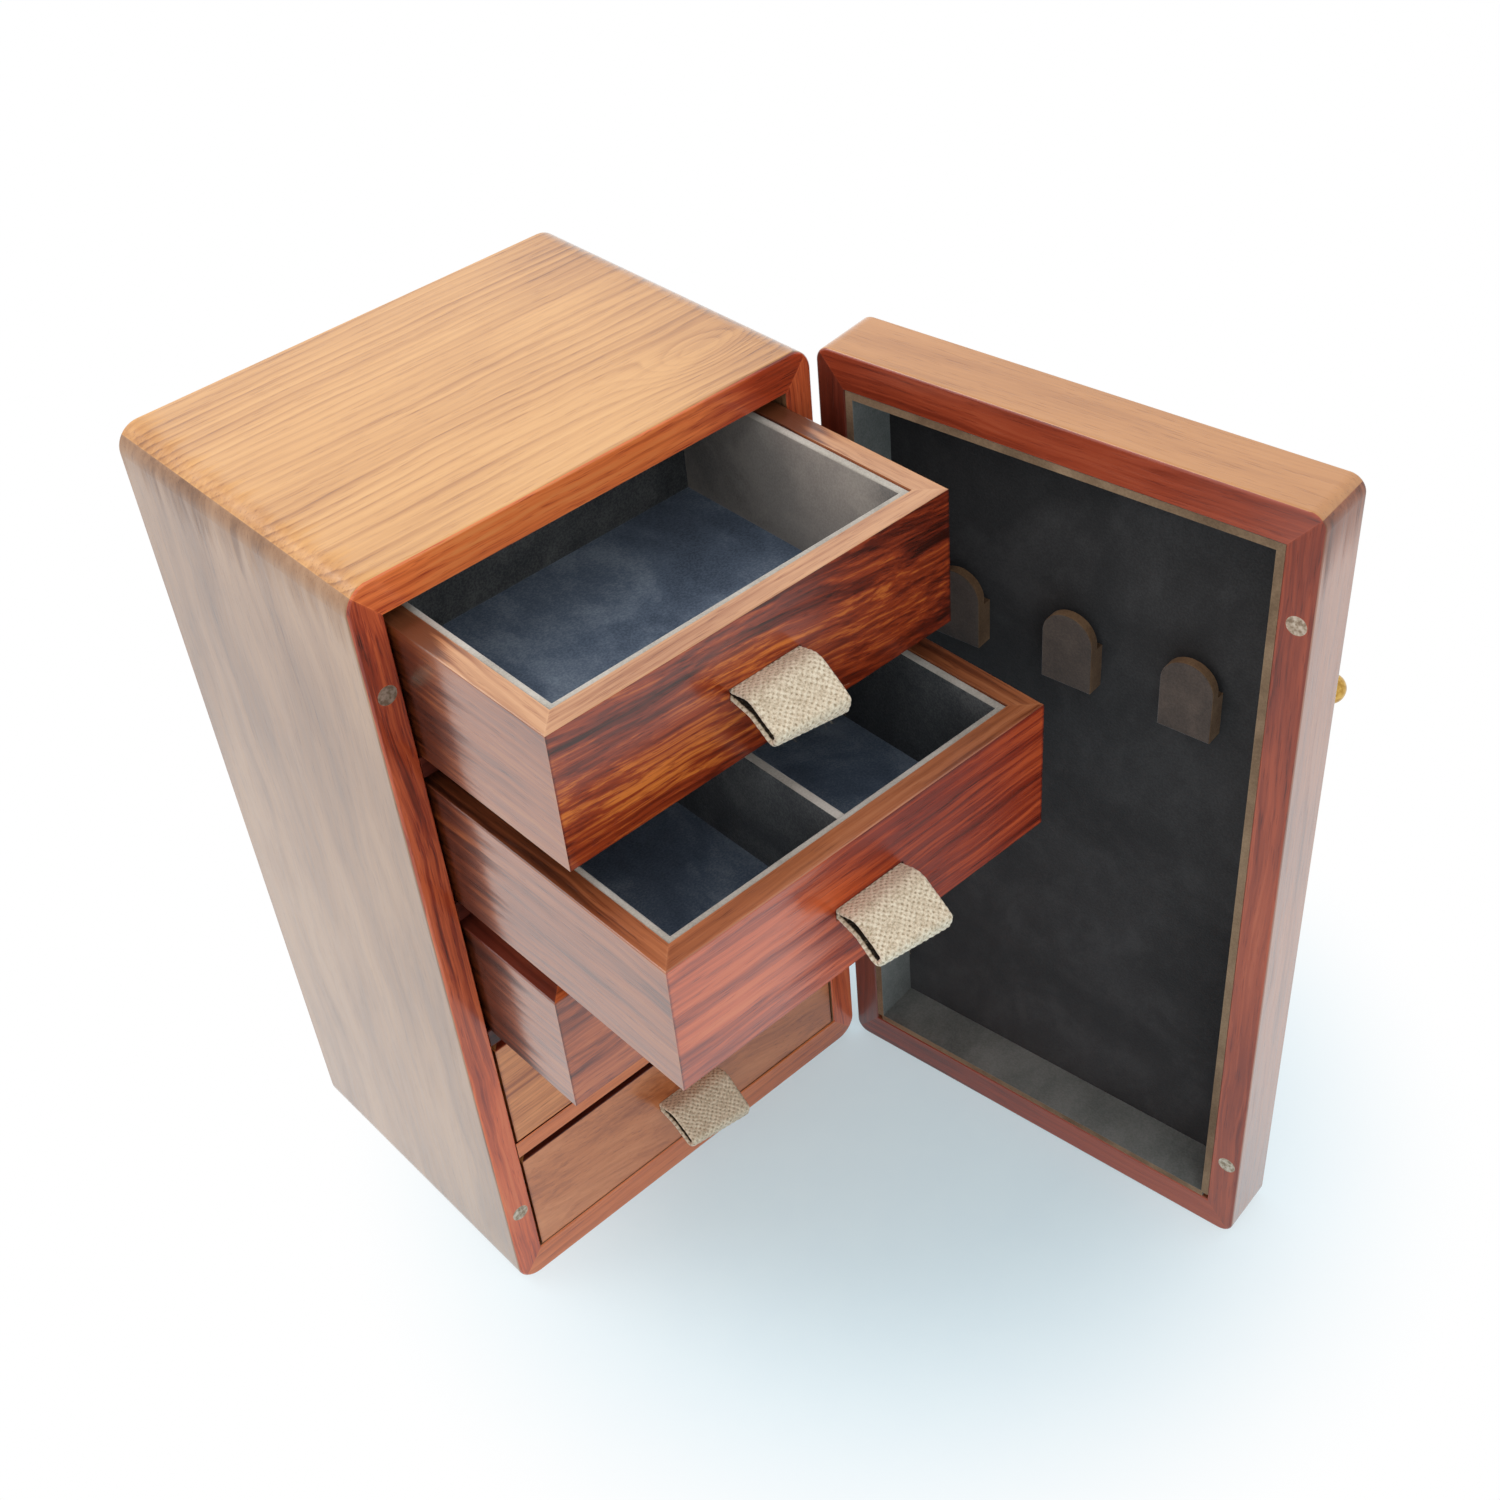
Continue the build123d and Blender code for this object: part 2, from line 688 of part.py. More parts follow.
def write_node(name, piece):
    """One file for each named piece, or group of like pieces."""
    parts = piece if isinstance(piece, list) else [piece]
    solids = [solid for part in parts for solid in part.solids()]
    shape = solids[0] if len(solids) == 1 else Compound(children=solids)
    shape.label = name
    export_step(shape, f"parts/{name}.step")


def main():
    os.makedirs("parts", exist_ok=True)
    pieces = cabinet_pieces()
    for number in range(1, drawer_count + 1):
        pieces.update(drawer_pieces(number))
    pieces.update(door_pieces())
    for name, piece in pieces.items():
        write_node(name, piece)


main()
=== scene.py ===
import json
import math

import bmesh
import bpy
import numpy as np
from mathutils import Matrix, Vector


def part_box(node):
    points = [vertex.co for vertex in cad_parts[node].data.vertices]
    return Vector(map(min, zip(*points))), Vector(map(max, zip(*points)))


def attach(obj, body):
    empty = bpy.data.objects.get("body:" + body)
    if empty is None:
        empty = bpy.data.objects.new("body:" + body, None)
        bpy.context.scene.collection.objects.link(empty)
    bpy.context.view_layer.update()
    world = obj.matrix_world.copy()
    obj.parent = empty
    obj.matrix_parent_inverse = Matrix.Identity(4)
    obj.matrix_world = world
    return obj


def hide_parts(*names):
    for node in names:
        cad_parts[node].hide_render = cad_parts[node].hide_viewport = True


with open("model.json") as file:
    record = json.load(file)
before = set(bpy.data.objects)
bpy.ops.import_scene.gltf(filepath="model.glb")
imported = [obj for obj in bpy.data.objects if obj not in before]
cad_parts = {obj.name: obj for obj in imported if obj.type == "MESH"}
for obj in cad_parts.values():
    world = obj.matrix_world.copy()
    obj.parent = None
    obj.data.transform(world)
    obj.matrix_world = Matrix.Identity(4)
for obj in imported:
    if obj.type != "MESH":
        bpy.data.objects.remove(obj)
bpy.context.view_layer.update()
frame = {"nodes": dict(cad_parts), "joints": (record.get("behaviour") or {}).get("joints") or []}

# A wooden jewellery cabinet on a pale floor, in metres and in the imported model's own frame:
# X to the right across the front, Y to the back, Z up. At rest the door stands open.

# The camera, set against the photograph's perspective. The focal length is a share of the sensor's width.
CAMERA_PLACE = (-0.2536, -0.4323, 0.5766)
CAMERA_TURN_DEGREES = (49.04, 4.48, -42.37)
SENSOR_WIDTH_MM = 36.0
FOCAL_SHARE = 1.3166
CLIP_START = 0.02

# The door's joint: its place from the record, and how far the door is open at rest
DOOR_OPEN_DEGREES = 98.0
HINGE = next(joint for joint in frame["joints"] if joint["name"] == "door_hinge")
HINGE_PLACE = tuple(HINGE["pos_m"])

DRAWER_NUMBERS = range(1, 6)

WHITE = (1, 1, 1, 1)


def srgb(red, green, blue):
    """A linear colour with alpha from the usual 0 to 255 values, by the standard sRGB curve."""
    shares = [value / 255 for value in (red, green, blue)]
    linear = [s / 12.92 if s <= 0.04045 else ((s + 0.055) / 1.055) ** 2.4 for s in shares]
    return (*linear, 1.0)


class Shader:
    """The node tree of one material or world, with short calls that add and join its nodes."""

    def __init__(self, owner, output="ShaderNodeOutputMaterial"):
        owner.use_nodes = True
        self.owner = owner
        self.tree = owner.node_tree
        self.tree.nodes.clear()
        self.output = self.tree.nodes.new(output)

    def add(self, kind, inputs=(), **settings):
        node = self.tree.nodes.new(kind)
        for name, value in settings.items():
            setattr(node, name, value)
        for key, value in dict(inputs).items():
            self.feed(node.inputs[key], value)
        return node

    def feed(self, socket, value):
        if isinstance(value, bpy.types.NodeSocket):
            self.tree.links.new(value, socket)
        else:
            socket.default_value = value

    def math(self, operation, first, second=0.0, clamp=False):
        inputs = {0: first, 1: second}
        return self.add("ShaderNodeMath", inputs, operation=operation, use_clamp=clamp).outputs[0]

    def vector_math(self, operation, first, second):
        return self.add("ShaderNodeVectorMath", {0: first, 1: second}, operation=operation).outputs[0]

    def measure(self, operation, *vectors):
        """A number worked out from vectors, such as a length."""
        node = self.add("ShaderNodeVectorMath", dict(enumerate(vectors)), operation=operation)
        return node.outputs["Value"]

    def noise(self, place, scale, detail=2.0, roughness=0.5, distortion=0.0, output="Fac"):
        stretched = self.add("ShaderNodeMapping", {"Vector": place, "Scale": scale}).outputs["Vector"]
        inputs = {"Vector": stretched, "Scale": 1.0, "Detail": detail, "Roughness": roughness}
        inputs["Distortion"] = distortion
        return self.add("ShaderNodeTexNoise", inputs).outputs[output]

    def remap(self, value, low, high, to_low=0.0, to_high=1.0):
        inputs = {"Value": value, "From Min": low, "From Max": high, "To Min": to_low, "To Max": to_high}
        return self.add("ShaderNodeMapRange", inputs, interpolation_type="SMOOTHSTEP").outputs["Result"]

    def lowered(self, value, guide, start, end, depth, clamp=False):
        """The value less a depth that sets in while the guide goes from start to end."""
        return self.math("SUBTRACT", value, self.remap(guide, start, end, 0.0, depth), clamp)

    def mix(self, share, first, second):
        node = self.add("ShaderNodeMix", {"Factor": share}, data_type="RGBA")
        colours = [socket for socket in node.inputs if socket.type == "RGBA"]
        self.feed(colours[0], first)
        self.feed(colours[1], second)
        return next(socket for socket in node.outputs if socket.type == "RGBA")

    def ramp(self, value, tones):
        """A colour between evenly placed tones, the first at 0 and the last at 1."""
        node = self.add("ShaderNodeValToRGB", {"Fac": value})
        stops = node.color_ramp.elements
        while len(stops) < len(tones):
            stops.new(0.5)
        for index, tone in enumerate(tones):
            stops[index].position = index / (len(tones) - 1)
            stops[index].color = srgb(*tone)
        return node.outputs["Color"]

    def bump(self, height, distance, strength):
        inputs = {"Height": height, "Distance": distance, "Strength": strength}
        return self.add("ShaderNodeBump", inputs).outputs["Normal"]

    def finish(self, surface):
        """Ends the tree in a surface, and returns its material or world."""
        self.tree.links.new(surface, self.output.inputs["Surface"])
        return self.owner

    def finish_principled(self, inputs):
        return self.finish(self.add("ShaderNodeBsdfPrincipled", inputs).outputs["BSDF"])


def new_shader(name):
    return Shader(bpy.data.materials.new(name))


def new_object(name, data):
    made = bpy.data.objects.new(name, data)
    bpy.context.scene.collection.objects.link(made)
    return made


def object_place(shader, on_door=False):
    """Where a point lies on the object at rest, or on the door as if it were shut."""
    place = shader.add("ShaderNodeTexCoord").outputs["Object"]
    if not on_door:
        return place
    inputs = {"Vector": place, "Center": HINGE_PLACE, "Angle": math.radians(-DOOR_OPEN_DEGREES)}
    return shader.add("ShaderNodeVectorRotate", inputs, rotation_type="Z_AXIS").outputs["Vector"]


def moved_by_seed(shader, place, seed, step):
    """The point moved through the noises, so that surfaces with different seeds don't look alike."""
    return shader.vector_math("ADD", place, tuple(seed * part for part in step))


# Nearness to sharp edges: lighter there as wear, and on wood partly as a painted highlight
EDGE_RADIUS = 0.0011
EDGE_SPAN = (0.01, 0.3)


def edge_nearness(shader, radius=EDGE_RADIUS):
    """How close a point is to a sharp edge, from 0 to 1."""
    rounded = shader.add("ShaderNodeBevel", {"Radius": radius}, samples=4).outputs["Normal"]
    flat = shader.add("ShaderNodeNewGeometry").outputs["Normal"]
    likeness = shader.measure("DOT_PRODUCT", rounded, flat)
    return shader.remap(shader.math("SUBTRACT", 1.0, likeness), *EDGE_SPAN)


# How strongly each kind of board shows its growth lines, streaks, clouds and fibres. pitch is the width
# of a ring, waver and slant bend the lines, and broken is how far dark streaks take off the coat.
STRAIGHT = dict(
    lines=0.44, pitch=0.0021, streaks=0.06, clouds=0.10, fibres=0.09, waver=0.0010, slant=0.0, broken=0.0,
)
PLAIN = dict(
    lines=0.07, pitch=0.0030, streaks=0.06, clouds=0.14, fibres=0.06, waver=0.0020, slant=0.0, broken=0.0,
)
SMOOTH = dict(
    lines=0.16, pitch=0.0030, streaks=0.20, clouds=0.12, fibres=0.12, waver=0.0020, slant=0.0, broken=0.0,
)
QUIET = dict(
    lines=0.18, pitch=0.0028, streaks=0.20, clouds=0.14, fibres=0.13, waver=0.0022, slant=0.0, broken=0.06,
)
SOFT = dict(
    lines=0.10, pitch=0.0048, streaks=0.18, clouds=0.22, fibres=0.10, waver=0.0040, slant=0.15, broken=0.0,
)
BANDED = dict(
    lines=0.09, pitch=0.0070, streaks=0.12, clouds=0.24, fibres=0.10, waver=0.0040, slant=0.0, broken=0.0,
)
FIGURED = dict(
    lines=0.18, pitch=0.0026, streaks=0.30, clouds=0.20, fibres=0.16, waver=0.0026, slant=0.02, broken=0.0,
)
LIVELY = dict(
    lines=0.18, pitch=0.0026, streaks=0.30, clouds=0.22, fibres=0.17, waver=0.0032, slant=0.05, broken=0.10,
)
FLAMED = dict(
    lines=0.22, pitch=0.0022, streaks=0.34, clouds=0.26, fibres=0.25, waver=0.0030, slant=0.10, broken=0.15,
)

# How fine the wood's noises are, along the grain and then across it
WAVER_SCALE = (12, 26, 26)
FIBRE_SCALE = (10, 640, 640)
FADING_SCALE = (11, 70, 70)
CLOUD_SCALE = (9, 44, 44)
STREAK_SCALE = (4.5, 250, 250)
PORE_SCALE = (120, 2300, 2300)
WOOD_SEED_STEP = (0.37, 0.011, 0.007)

# Which part of each noise shows
FIBRE_SPAN = (0.3, 0.7)
CLOUD_SPAN = (0.28, 0.72)
STREAK_SPAN = (0.48, 0.70)
PORE_SPAN = (0.60, 0.70)
COAT_SPAN = (0.46, 0.66)
RAGGED_SPAN = (0.35, 0.65)
RAGGED_REACH = 0.005

# Growth rings round a pith that lies far outside the board
PITH_OFFSET = (0.0, 0.31, 0.24)
ACROSS_THE_GRAIN = (0.0, 1.0, 1.0)
WAVER_GAIN = 4
RING_FRAYING = 0.35
LATE_WOOD_POWER = 2.4
RING_END = (1.0, 0.84)
FADING_SPAN = (0.32, 0.62)
FADING_SHARES = (0.25, 1.0)

# Tone, from 0 to 1, and relief
MIDDLE_TONE = 0.68
PORE_DARKNESS = 0.16
END_DARKNESS = 0.22
PORE_DEPTH = 1.2
WOOD_ROUGHNESS = (0.28, 0.38)
WORN_ROUGHNESS = 0.12
WOOD_RELIEF = 0.00004
WOOD_RELIEF_STRENGTH = 0.5


def along_grain(shader, place, grain):
    """The same point with its first part along the grain."""
    parts = shader.add("ShaderNodeSeparateXYZ", {0: place}).outputs
    order = {"X": (0, 1, 2), "Y": (1, 0, 2), "Z": (2, 0, 1)}[grain]
    inputs = {index: parts[axis] for index, axis in enumerate(order)}
    return shader.add("ShaderNodeCombineXYZ", inputs).outputs[0]


def slanted(shader, place, along, slant):
    """The point moved across the grain in step with its way along it."""
    lean = shader.math("MULTIPLY", along, slant)
    sideways = shader.add("ShaderNodeCombineXYZ", {1: lean, 2: lean}).outputs[0]
    return shader.vector_math("ADD", place, sideways)


def wavered(shader, place, waver):
    """The point moved across the grain by the slow waver of the tree's axis."""
    drift = shader.noise(place, WAVER_SCALE, detail=3.0, output="Color")
    drift = shader.vector_math("SUBTRACT", drift, (0.5, 0.5, 0.5))
    drift = shader.vector_math("MULTIPLY", drift, (0.0, WAVER_GAIN * waver, WAVER_GAIN * waver))
    return shader.vector_math("ADD", place, drift)


def pith_distance(shader, bent):
    """How far a point is from the tree's axis."""
    offset = shader.vector_math("ADD", bent, PITH_OFFSET)
    return shader.measure("LENGTH", shader.vector_math("MULTIPLY", offset, ACROSS_THE_GRAIN))


def grown_eye(shader, place, middle, reach, rise):
    """An oval swelling of the growth rings round a point, as round a hidden knot."""
    offset = shader.vector_math("SUBTRACT", place, middle)
    offset = shader.vector_math("DIVIDE", offset, reach)
    square = shader.measure("DOT_PRODUCT", offset, offset)
    swelling = shader.math("POWER", math.e, shader.math("MULTIPLY", square, -1.0))
    return shader.math("MULTIPLY", swelling, rise)


def late_wood(shader, radius, fibre, place, pitch):
    """How dark the growth rings are, from 0 to 1: each darkens towards its end, and in places they fade."""
    rings = shader.math("DIVIDE", radius, pitch)
    rings = shader.math("ADD", rings, shader.math("MULTIPLY", fibre, RING_FRAYING))
    rings = shader.math("FRACT", rings)
    darkening = shader.math("POWER", rings, LATE_WOOD_POWER)
    late = shader.math("MULTIPLY", darkening, shader.remap(rings, *RING_END))
    fading = shader.noise(place, FADING_SCALE)
    return shader.math("MULTIPLY", late, shader.remap(fading, *FADING_SPAN, *FADING_SHARES))


def wood_tone(shader, bent, late, fibre, streak, pore, look):
    """The wood's tone: broad clouds less growth lines, dark streaks and pores, with fine fibres."""
    cloud = shader.noise(bent, CLOUD_SCALE, detail=3.0, roughness=0.55, distortion=0.2)
    tone = shader.remap(cloud, *CLOUD_SPAN, MIDDLE_TONE - look["clouds"], MIDDLE_TONE + look["clouds"])
    tone = shader.math("SUBTRACT", tone, shader.math("MULTIPLY", late, look["lines"]))
    tone = shader.lowered(tone, streak, *STREAK_SPAN, look["streaks"])
    tone = shader.math("ADD", tone, shader.remap(fibre, *FIBRE_SPAN, -look["fibres"], look["fibres"]))
    return shader.lowered(tone, pore, *PORE_SPAN, PORE_DARKNESS)


def ragged_place(shader, along, streak):
    """A point's place along the grain, moved a little by the streaks, so that shades end raggedly."""
    return shader.math("ADD", along, shader.remap(streak, *RAGGED_SPAN, -RAGGED_REACH, RAGGED_REACH))


def coat_weight(shader, streak, ragged, broken, dull):
    """How much of the coat there is: all of it, unless dark streaks break it or a span of it is dull."""
    coat = 1.0
    if broken:
        coat = shader.remap(streak, *COAT_SPAN, 1.0, 1.0 - broken)
    if dull:
        coat = shader.lowered(coat, ragged, *dull, clamp=True)
    return coat


def wood(name, grain, tones, look, seed, on_door=False, eye=None, wear_and_highlight=0.14, gloss=1.6, body=0.5,
         blur=0.17, dark_ends=None, shade=None, dull=None):
    """Lacquered hardwood: growth rings, dark streaks, cloudy figure, fibres, pores, and edges lighter as
    wear and painted highlight.

    wear_and_highlight is how much lighter the edges are, partly as wear and partly as a painted highlight
    (below 0 they are darker); gloss is the coat's refraction, blur its roughness and body the shine under
    it.
    eye gives a swelling of the rings: its middle, its reach each way and its rise.
    dark_ends gives how far from the middle both ends start and stop growing darker. shade and dull each
    give a start, an end and a depth along the grain, over which the wood grows darker or the coat duller.
    """
    shader = new_shader(name)
    board = object_place(shader, on_door)
    place = along_grain(shader, board, grain)
    along = shader.add("ShaderNodeSeparateXYZ", {0: place}).outputs[0]
    if look["slant"]:
        place = slanted(shader, place, along, look["slant"])
    place = moved_by_seed(shader, place, seed, WOOD_SEED_STEP)
    bent = wavered(shader, place, look["waver"])
    fibre = shader.noise(bent, FIBRE_SCALE, detail=4.0, roughness=0.62)
    streak = shader.noise(bent, STREAK_SCALE, detail=5.0, roughness=0.62, distortion=0.1)
    pore = shader.noise(place, PORE_SCALE, detail=1.0)
    edge = edge_nearness(shader)
    ragged = ragged_place(shader, along, streak) if shade or dull else None

    radius = pith_distance(shader, bent)
    if eye:
        radius = shader.math("ADD", radius, grown_eye(shader, board, *eye))
    late = late_wood(shader, radius, fibre, place, look["pitch"])
    tone = wood_tone(shader, bent, late, fibre, streak, pore, look)
    tone = shader.math("ADD", tone, shader.math("MULTIPLY", edge, wear_and_highlight))
    if dark_ends:
        tone = shader.lowered(tone, shader.math("ABSOLUTE", along), *dark_ends, END_DARKNESS)
    if shade:
        tone = shader.lowered(tone, ragged, *shade)

    rough = shader.remap(fibre, *FIBRE_SPAN, *WOOD_ROUGHNESS)
    relief = shader.lowered(fibre, pore, *PORE_SPAN, PORE_DEPTH)
    return shader.finish_principled({
        "Base Color": shader.ramp(tone, tones),
        "Roughness": shader.math("ADD", rough, shader.math("MULTIPLY", edge, WORN_ROUGHNESS)),
        "IOR": 1.5,
        "Specular IOR Level": body,
        "Coat Weight": coat_weight(shader, streak, ragged, look["broken"], dull),
        "Coat Roughness": blur,
        "Coat IOR": gloss,
        "Normal": shader.bump(relief, WOOD_RELIEF, WOOD_RELIEF_STRENGTH),
    })


# Suede
SUEDE_SEED_STEP = (0.21, 0.13, 0.17)
PATCH_SCALE = (24, 24, 24)
SMUDGE_SCALE = (110, 60, 75)
NAP_SCALE = (1500, 1500, 1500)
PATCH_SPAN = (0.34, 0.66)
PATCH_TONES = (0.25, 0.66)
SMUDGE_SPAN = (0.4, 0.72)
SMUDGE_TONES = (0.0, 0.2)
NAP_SPAN = (0.3, 0.7)
NAP_RELIEF = 0.00012
NAP_RELIEF_STRENGTH = 0.7
SUEDE_EDGE_RADIUS = 0.0008
SUEDE_WEAR = 0.12
SHEEN_TINT = (0.85, 0.9, 1.0, 1.0)


def suede(name, tones, seed, on_door=False, nap_depth=0.22, sheen=0.4):
    """Brushed suede over board: soft pressed patches, a fine nap and a faint sheen."""
    shader = new_shader(name)
    place = moved_by_seed(shader, object_place(shader, on_door), seed, SUEDE_SEED_STEP)
    patches = shader.noise(place, PATCH_SCALE, detail=4.0, roughness=0.55, distortion=0.8)
    smudges = shader.noise(place, SMUDGE_SCALE, detail=3.0, roughness=0.55, distortion=0.3)
    nap = shader.noise(place, NAP_SCALE, detail=3.0, roughness=0.65)
    edge = edge_nearness(shader, SUEDE_EDGE_RADIUS)
    tone = shader.remap(patches, *PATCH_SPAN, *PATCH_TONES)
    tone = shader.math("ADD", tone, shader.remap(smudges, *SMUDGE_SPAN, *SMUDGE_TONES))
    tone = shader.math("ADD", tone, shader.remap(nap, *NAP_SPAN, -nap_depth, nap_depth))
    tone = shader.math("ADD", tone, shader.math("MULTIPLY", edge, SUEDE_WEAR))
    return shader.finish_principled({
        "Base Color": shader.ramp(tone, tones),
        "Roughness": 0.92,
        "Specular IOR Level": 0.2,
        "Sheen Weight": sheen,
        "Sheen Roughness": 0.45,
        "Sheen Tint": SHEEN_TINT,
        "Normal": shader.bump(nap, NAP_RELIEF, NAP_RELIEF_STRENGTH),
    })


# Metal
METAL_SEED_STEP = (0.3, 0.2, 0.1)
FILM_SCALE = (700, 700, 700)
SCRATCH_SCALE = (300, 2400, 5200)
FILM_TONE_SPAN = (0.32, 0.68)
FILM_SPAN = (0.3, 0.7)
DULLER_BY = 0.14
BRIGHTER_BY = 0.06
SCRATCH_RELIEF = 0.00002
SCRATCH_RELIEF_STRENGTH = 0.6


def metal(name, tones, roughness, seed):
    """Plated or solid metal with fine scratches and a duller film in patches."""
    shader = new_shader(name)
    place = moved_by_seed(shader, object_place(shader), seed, METAL_SEED_STEP)
    film = shader.noise(place, FILM_SCALE, detail=3.0, roughness=0.6)
    scratch = shader.noise(place, SCRATCH_SCALE)
    duller, brighter = roughness + DULLER_BY, roughness - BRIGHTER_BY
    return shader.finish_principled({
        "Base Color": shader.ramp(shader.remap(film, *FILM_TONE_SPAN), tones),
        "Metallic": 1.0,
        "Roughness": shader.remap(film, *FILM_SPAN, duller, brighter),
        "Normal": shader.bump(scratch, SCRATCH_RELIEF, SCRATCH_RELIEF_STRENGTH),
    })


# Wood tones, from the darkest to the lightest
HONEY = ((128, 76, 34), (190, 129, 70), (221, 162, 97), (237, 183, 118))
DOOR_TOP_TAN = ((120, 70, 34), (166, 106, 56), (196, 134, 78), (214, 152, 96))
STILE_RED = ((62, 19, 10), (162, 58, 30), (222, 101, 54), (234, 128, 78))
RAIL_ORANGE = ((110, 36, 17), (190, 70, 32), (250, 130, 64), (255, 166, 92))
DOOR_RED = ((56, 17, 10), (118, 40, 22), (158, 64, 37), (182, 88, 56))
DOOR_STILE = ((60, 20, 11), (128, 46, 25), (170, 74, 43), (194, 98, 64))
# A dark red-brown for painted shade: the shelves, the door's hinge stile and the rims of drawers 3 and 5
SHADE_BROWN = ((34, 12, 9), (78, 29, 20), (112, 46, 32), (140, 66, 46))
FOOT_RAIL = ((92, 34, 14), (174, 78, 35), (222, 118, 60), (238, 142, 86))
DOOR_EDGE = ((60, 26, 14), (124, 66, 40), (164, 96, 62), (190, 122, 84))
CASE_SIDE = ((74, 44, 26), (124, 84, 55), (156, 113, 80), (178, 135, 100))
VEILED = ((44, 14, 6), (104, 46, 20), (158, 88, 42), (188, 116, 64))
DRAWER_SIDE = ((36, 12, 5), (100, 42, 17), (156, 81, 36), (180, 113, 60))
TAN = ((108, 48, 20), (174, 94, 46), (216, 138, 80), (234, 162, 104))
GOLD = ((54, 16, 7), (110, 34, 13), (160, 60, 23), (222, 120, 46))
PALE_TAN = ((106, 58, 34), (166, 106, 68), (206, 150, 106), (224, 174, 132))
RIM_BROWN = ((62, 26, 14), (122, 62, 34), (172, 100, 60), (198, 130, 86))
FLAME_RED = ((58, 13, 6), (140, 42, 18), (208, 88, 40), (234, 130, 76))
DARK_RED = ((54, 17, 8), (128, 49, 22), (190, 92, 47), (216, 124, 72))
BRIGHT_TAN = ((118, 52, 20), (184, 98, 46), (228, 142, 80), (242, 166, 104))
ROSE_TAN = ((92, 40, 20), (166, 86, 44), (208, 122, 70), (228, 146, 94))

# Suede and bare board tones
CHARCOAL = ((30, 28, 27), (46, 43, 42), (62, 59, 58))
STRIP_GREY = ((92, 94, 92), (124, 126, 122), (150, 150, 146))
BARE_BOARD = ((84, 64, 46), (128, 102, 78), (158, 130, 102))
HOOK_BOARD = ((70, 50, 34), (112, 84, 60), (146, 114, 84))
HOOK_BROWN = ((54, 44, 38), (86, 71, 61), (110, 92, 78))
FLOOR_BLUE = ((62, 74, 92), (112, 126, 146), (164, 176, 192))
WALL_GREY = ((40, 42, 44), (78, 80, 80), (116, 116, 114))
# Painted light: a lighter wall for drawer 1's lining, as if lit from the left
PAINTED_LIGHT_WALL_GREY = ((96, 92, 88), (150, 140, 130), (182, 170, 158))
RIM_GREY = ((140, 132, 122), (184, 176, 164), (212, 204, 194))

# Metal tones
NICKEL = ((158, 140, 120), (194, 178, 158), (218, 206, 190))
HINGE_BRASS = ((168, 134, 78), (188, 154, 94), (204, 172, 112))
KNOB_BRASS = ((176, 136, 66), (196, 156, 80), (214, 176, 98))

# How far a face's normal points one way before the face counts as facing it
FACING = 0.6


def paint(node, *materials, choose=None):
    """Gives a CAD node its material slots, and each face the slot chosen by its middle and normal."""
    mesh = frame["nodes"][node].data
    mesh.materials.clear()
    for material in materials:
        mesh.materials.append(material)
    if choose:
        for face in mesh.polygons:
            face.material_index = choose(face.center, face.normal)


def from_shut(vector):
    """A direction on the open door, turned back to where it points when the door is shut."""
    return Matrix.Rotation(math.radians(-DOOR_OPEN_DEGREES), 3, "Z") @ vector


def faces_front(middle, normal):
    return 1 if normal.y < -FACING else 0


def faces_cabinet(middle, normal):
    return 1 if from_shut(normal).y > FACING else 0


def faces_up(middle, normal):
    return 1 if normal.z > FACING else 0


# Where boards change along their grain: the eye in the case's top, the upper ends of the case's sides and
# of the door's edges, and a span before every board, for a painted shade that covers all of it
TOP_EYE = ((0.058, -0.038, 0.295), (0.020, 0.008, 0.1), 0.0110)
SIDE_END = (0.274, 0.291)
DOOR_END = (0.268, 0.288)
ALL_OVER = (-1.0, -0.9)


def paint_cabinet():
    # The top's light honey tones are partly the wood's own colour and partly painted light from above.
    top = wood("case_top", "X", HONEY, STRAIGHT, seed=1, eye=TOP_EYE, gloss=1.42,
               dark_ends=(0.069, 0.079), shade=(0.03, 0.085, 0.24), dull=(-0.068, -0.076, 0.85))
    # Painted shade: the sides grow darker near their upper ends, with the coat thinned so that the
    # reflection breaks off there.
    side = wood("case_side", "Z", CASE_SIDE, BANDED, seed=2, gloss=1.35, body=0.35,
                shade=(*SIDE_END, 0.12), dull=(*SIDE_END, 0.6))
    back = wood("case_back", "Z", CASE_SIDE, BANDED, seed=4, gloss=1.48)
    # Painted shade: the shelves are dark and darkened all over, as the shade between the drawers; the front
    # of the lowest shelf keeps a lighter wood.
    shelf = wood("shelf_board", "X", SHADE_BROWN, QUIET, seed=6, gloss=1.25, body=0.15,
                 shade=(*ALL_OVER, 0.3))
    low_shelf = wood("low_shelf_board", "X", FOOT_RAIL, SMOOTH, seed=6, gloss=1.32, body=0.4)
    rail = wood("case_rail", "X", RAIL_ORANGE, SMOOTH, seed=3, gloss=1.38, body=0.4,
                dark_ends=(0.035, 0.075), shade=(0.0, 0.075, 0.18))
    stile = wood("case_stile", "Z", STILE_RED, FIGURED, seed=5, gloss=1.32, body=0.4,
                 shade=(0.05, 0.14, 0.03))
    foot = wood("case_foot_rail", "X", FOOT_RAIL, SMOOTH, seed=7, gloss=1.34, body=0.4)
    for node, body, rim in (
        ("cabinet_top", top, rail),
        ("cabinet_bottom", side, foot),
        ("cabinet_left_side", side, stile),
        ("cabinet_right_side", side, stile),
        ("cabinet_back", back, back),
        ("drawer_shelf_1", shelf, shelf),
        ("drawer_shelf_2", shelf, shelf),
        ("drawer_shelf_3", shelf, shelf),
        ("drawer_shelf_4", shelf, low_shelf),
    ):
        paint(node, body, rim, choose=faces_front)


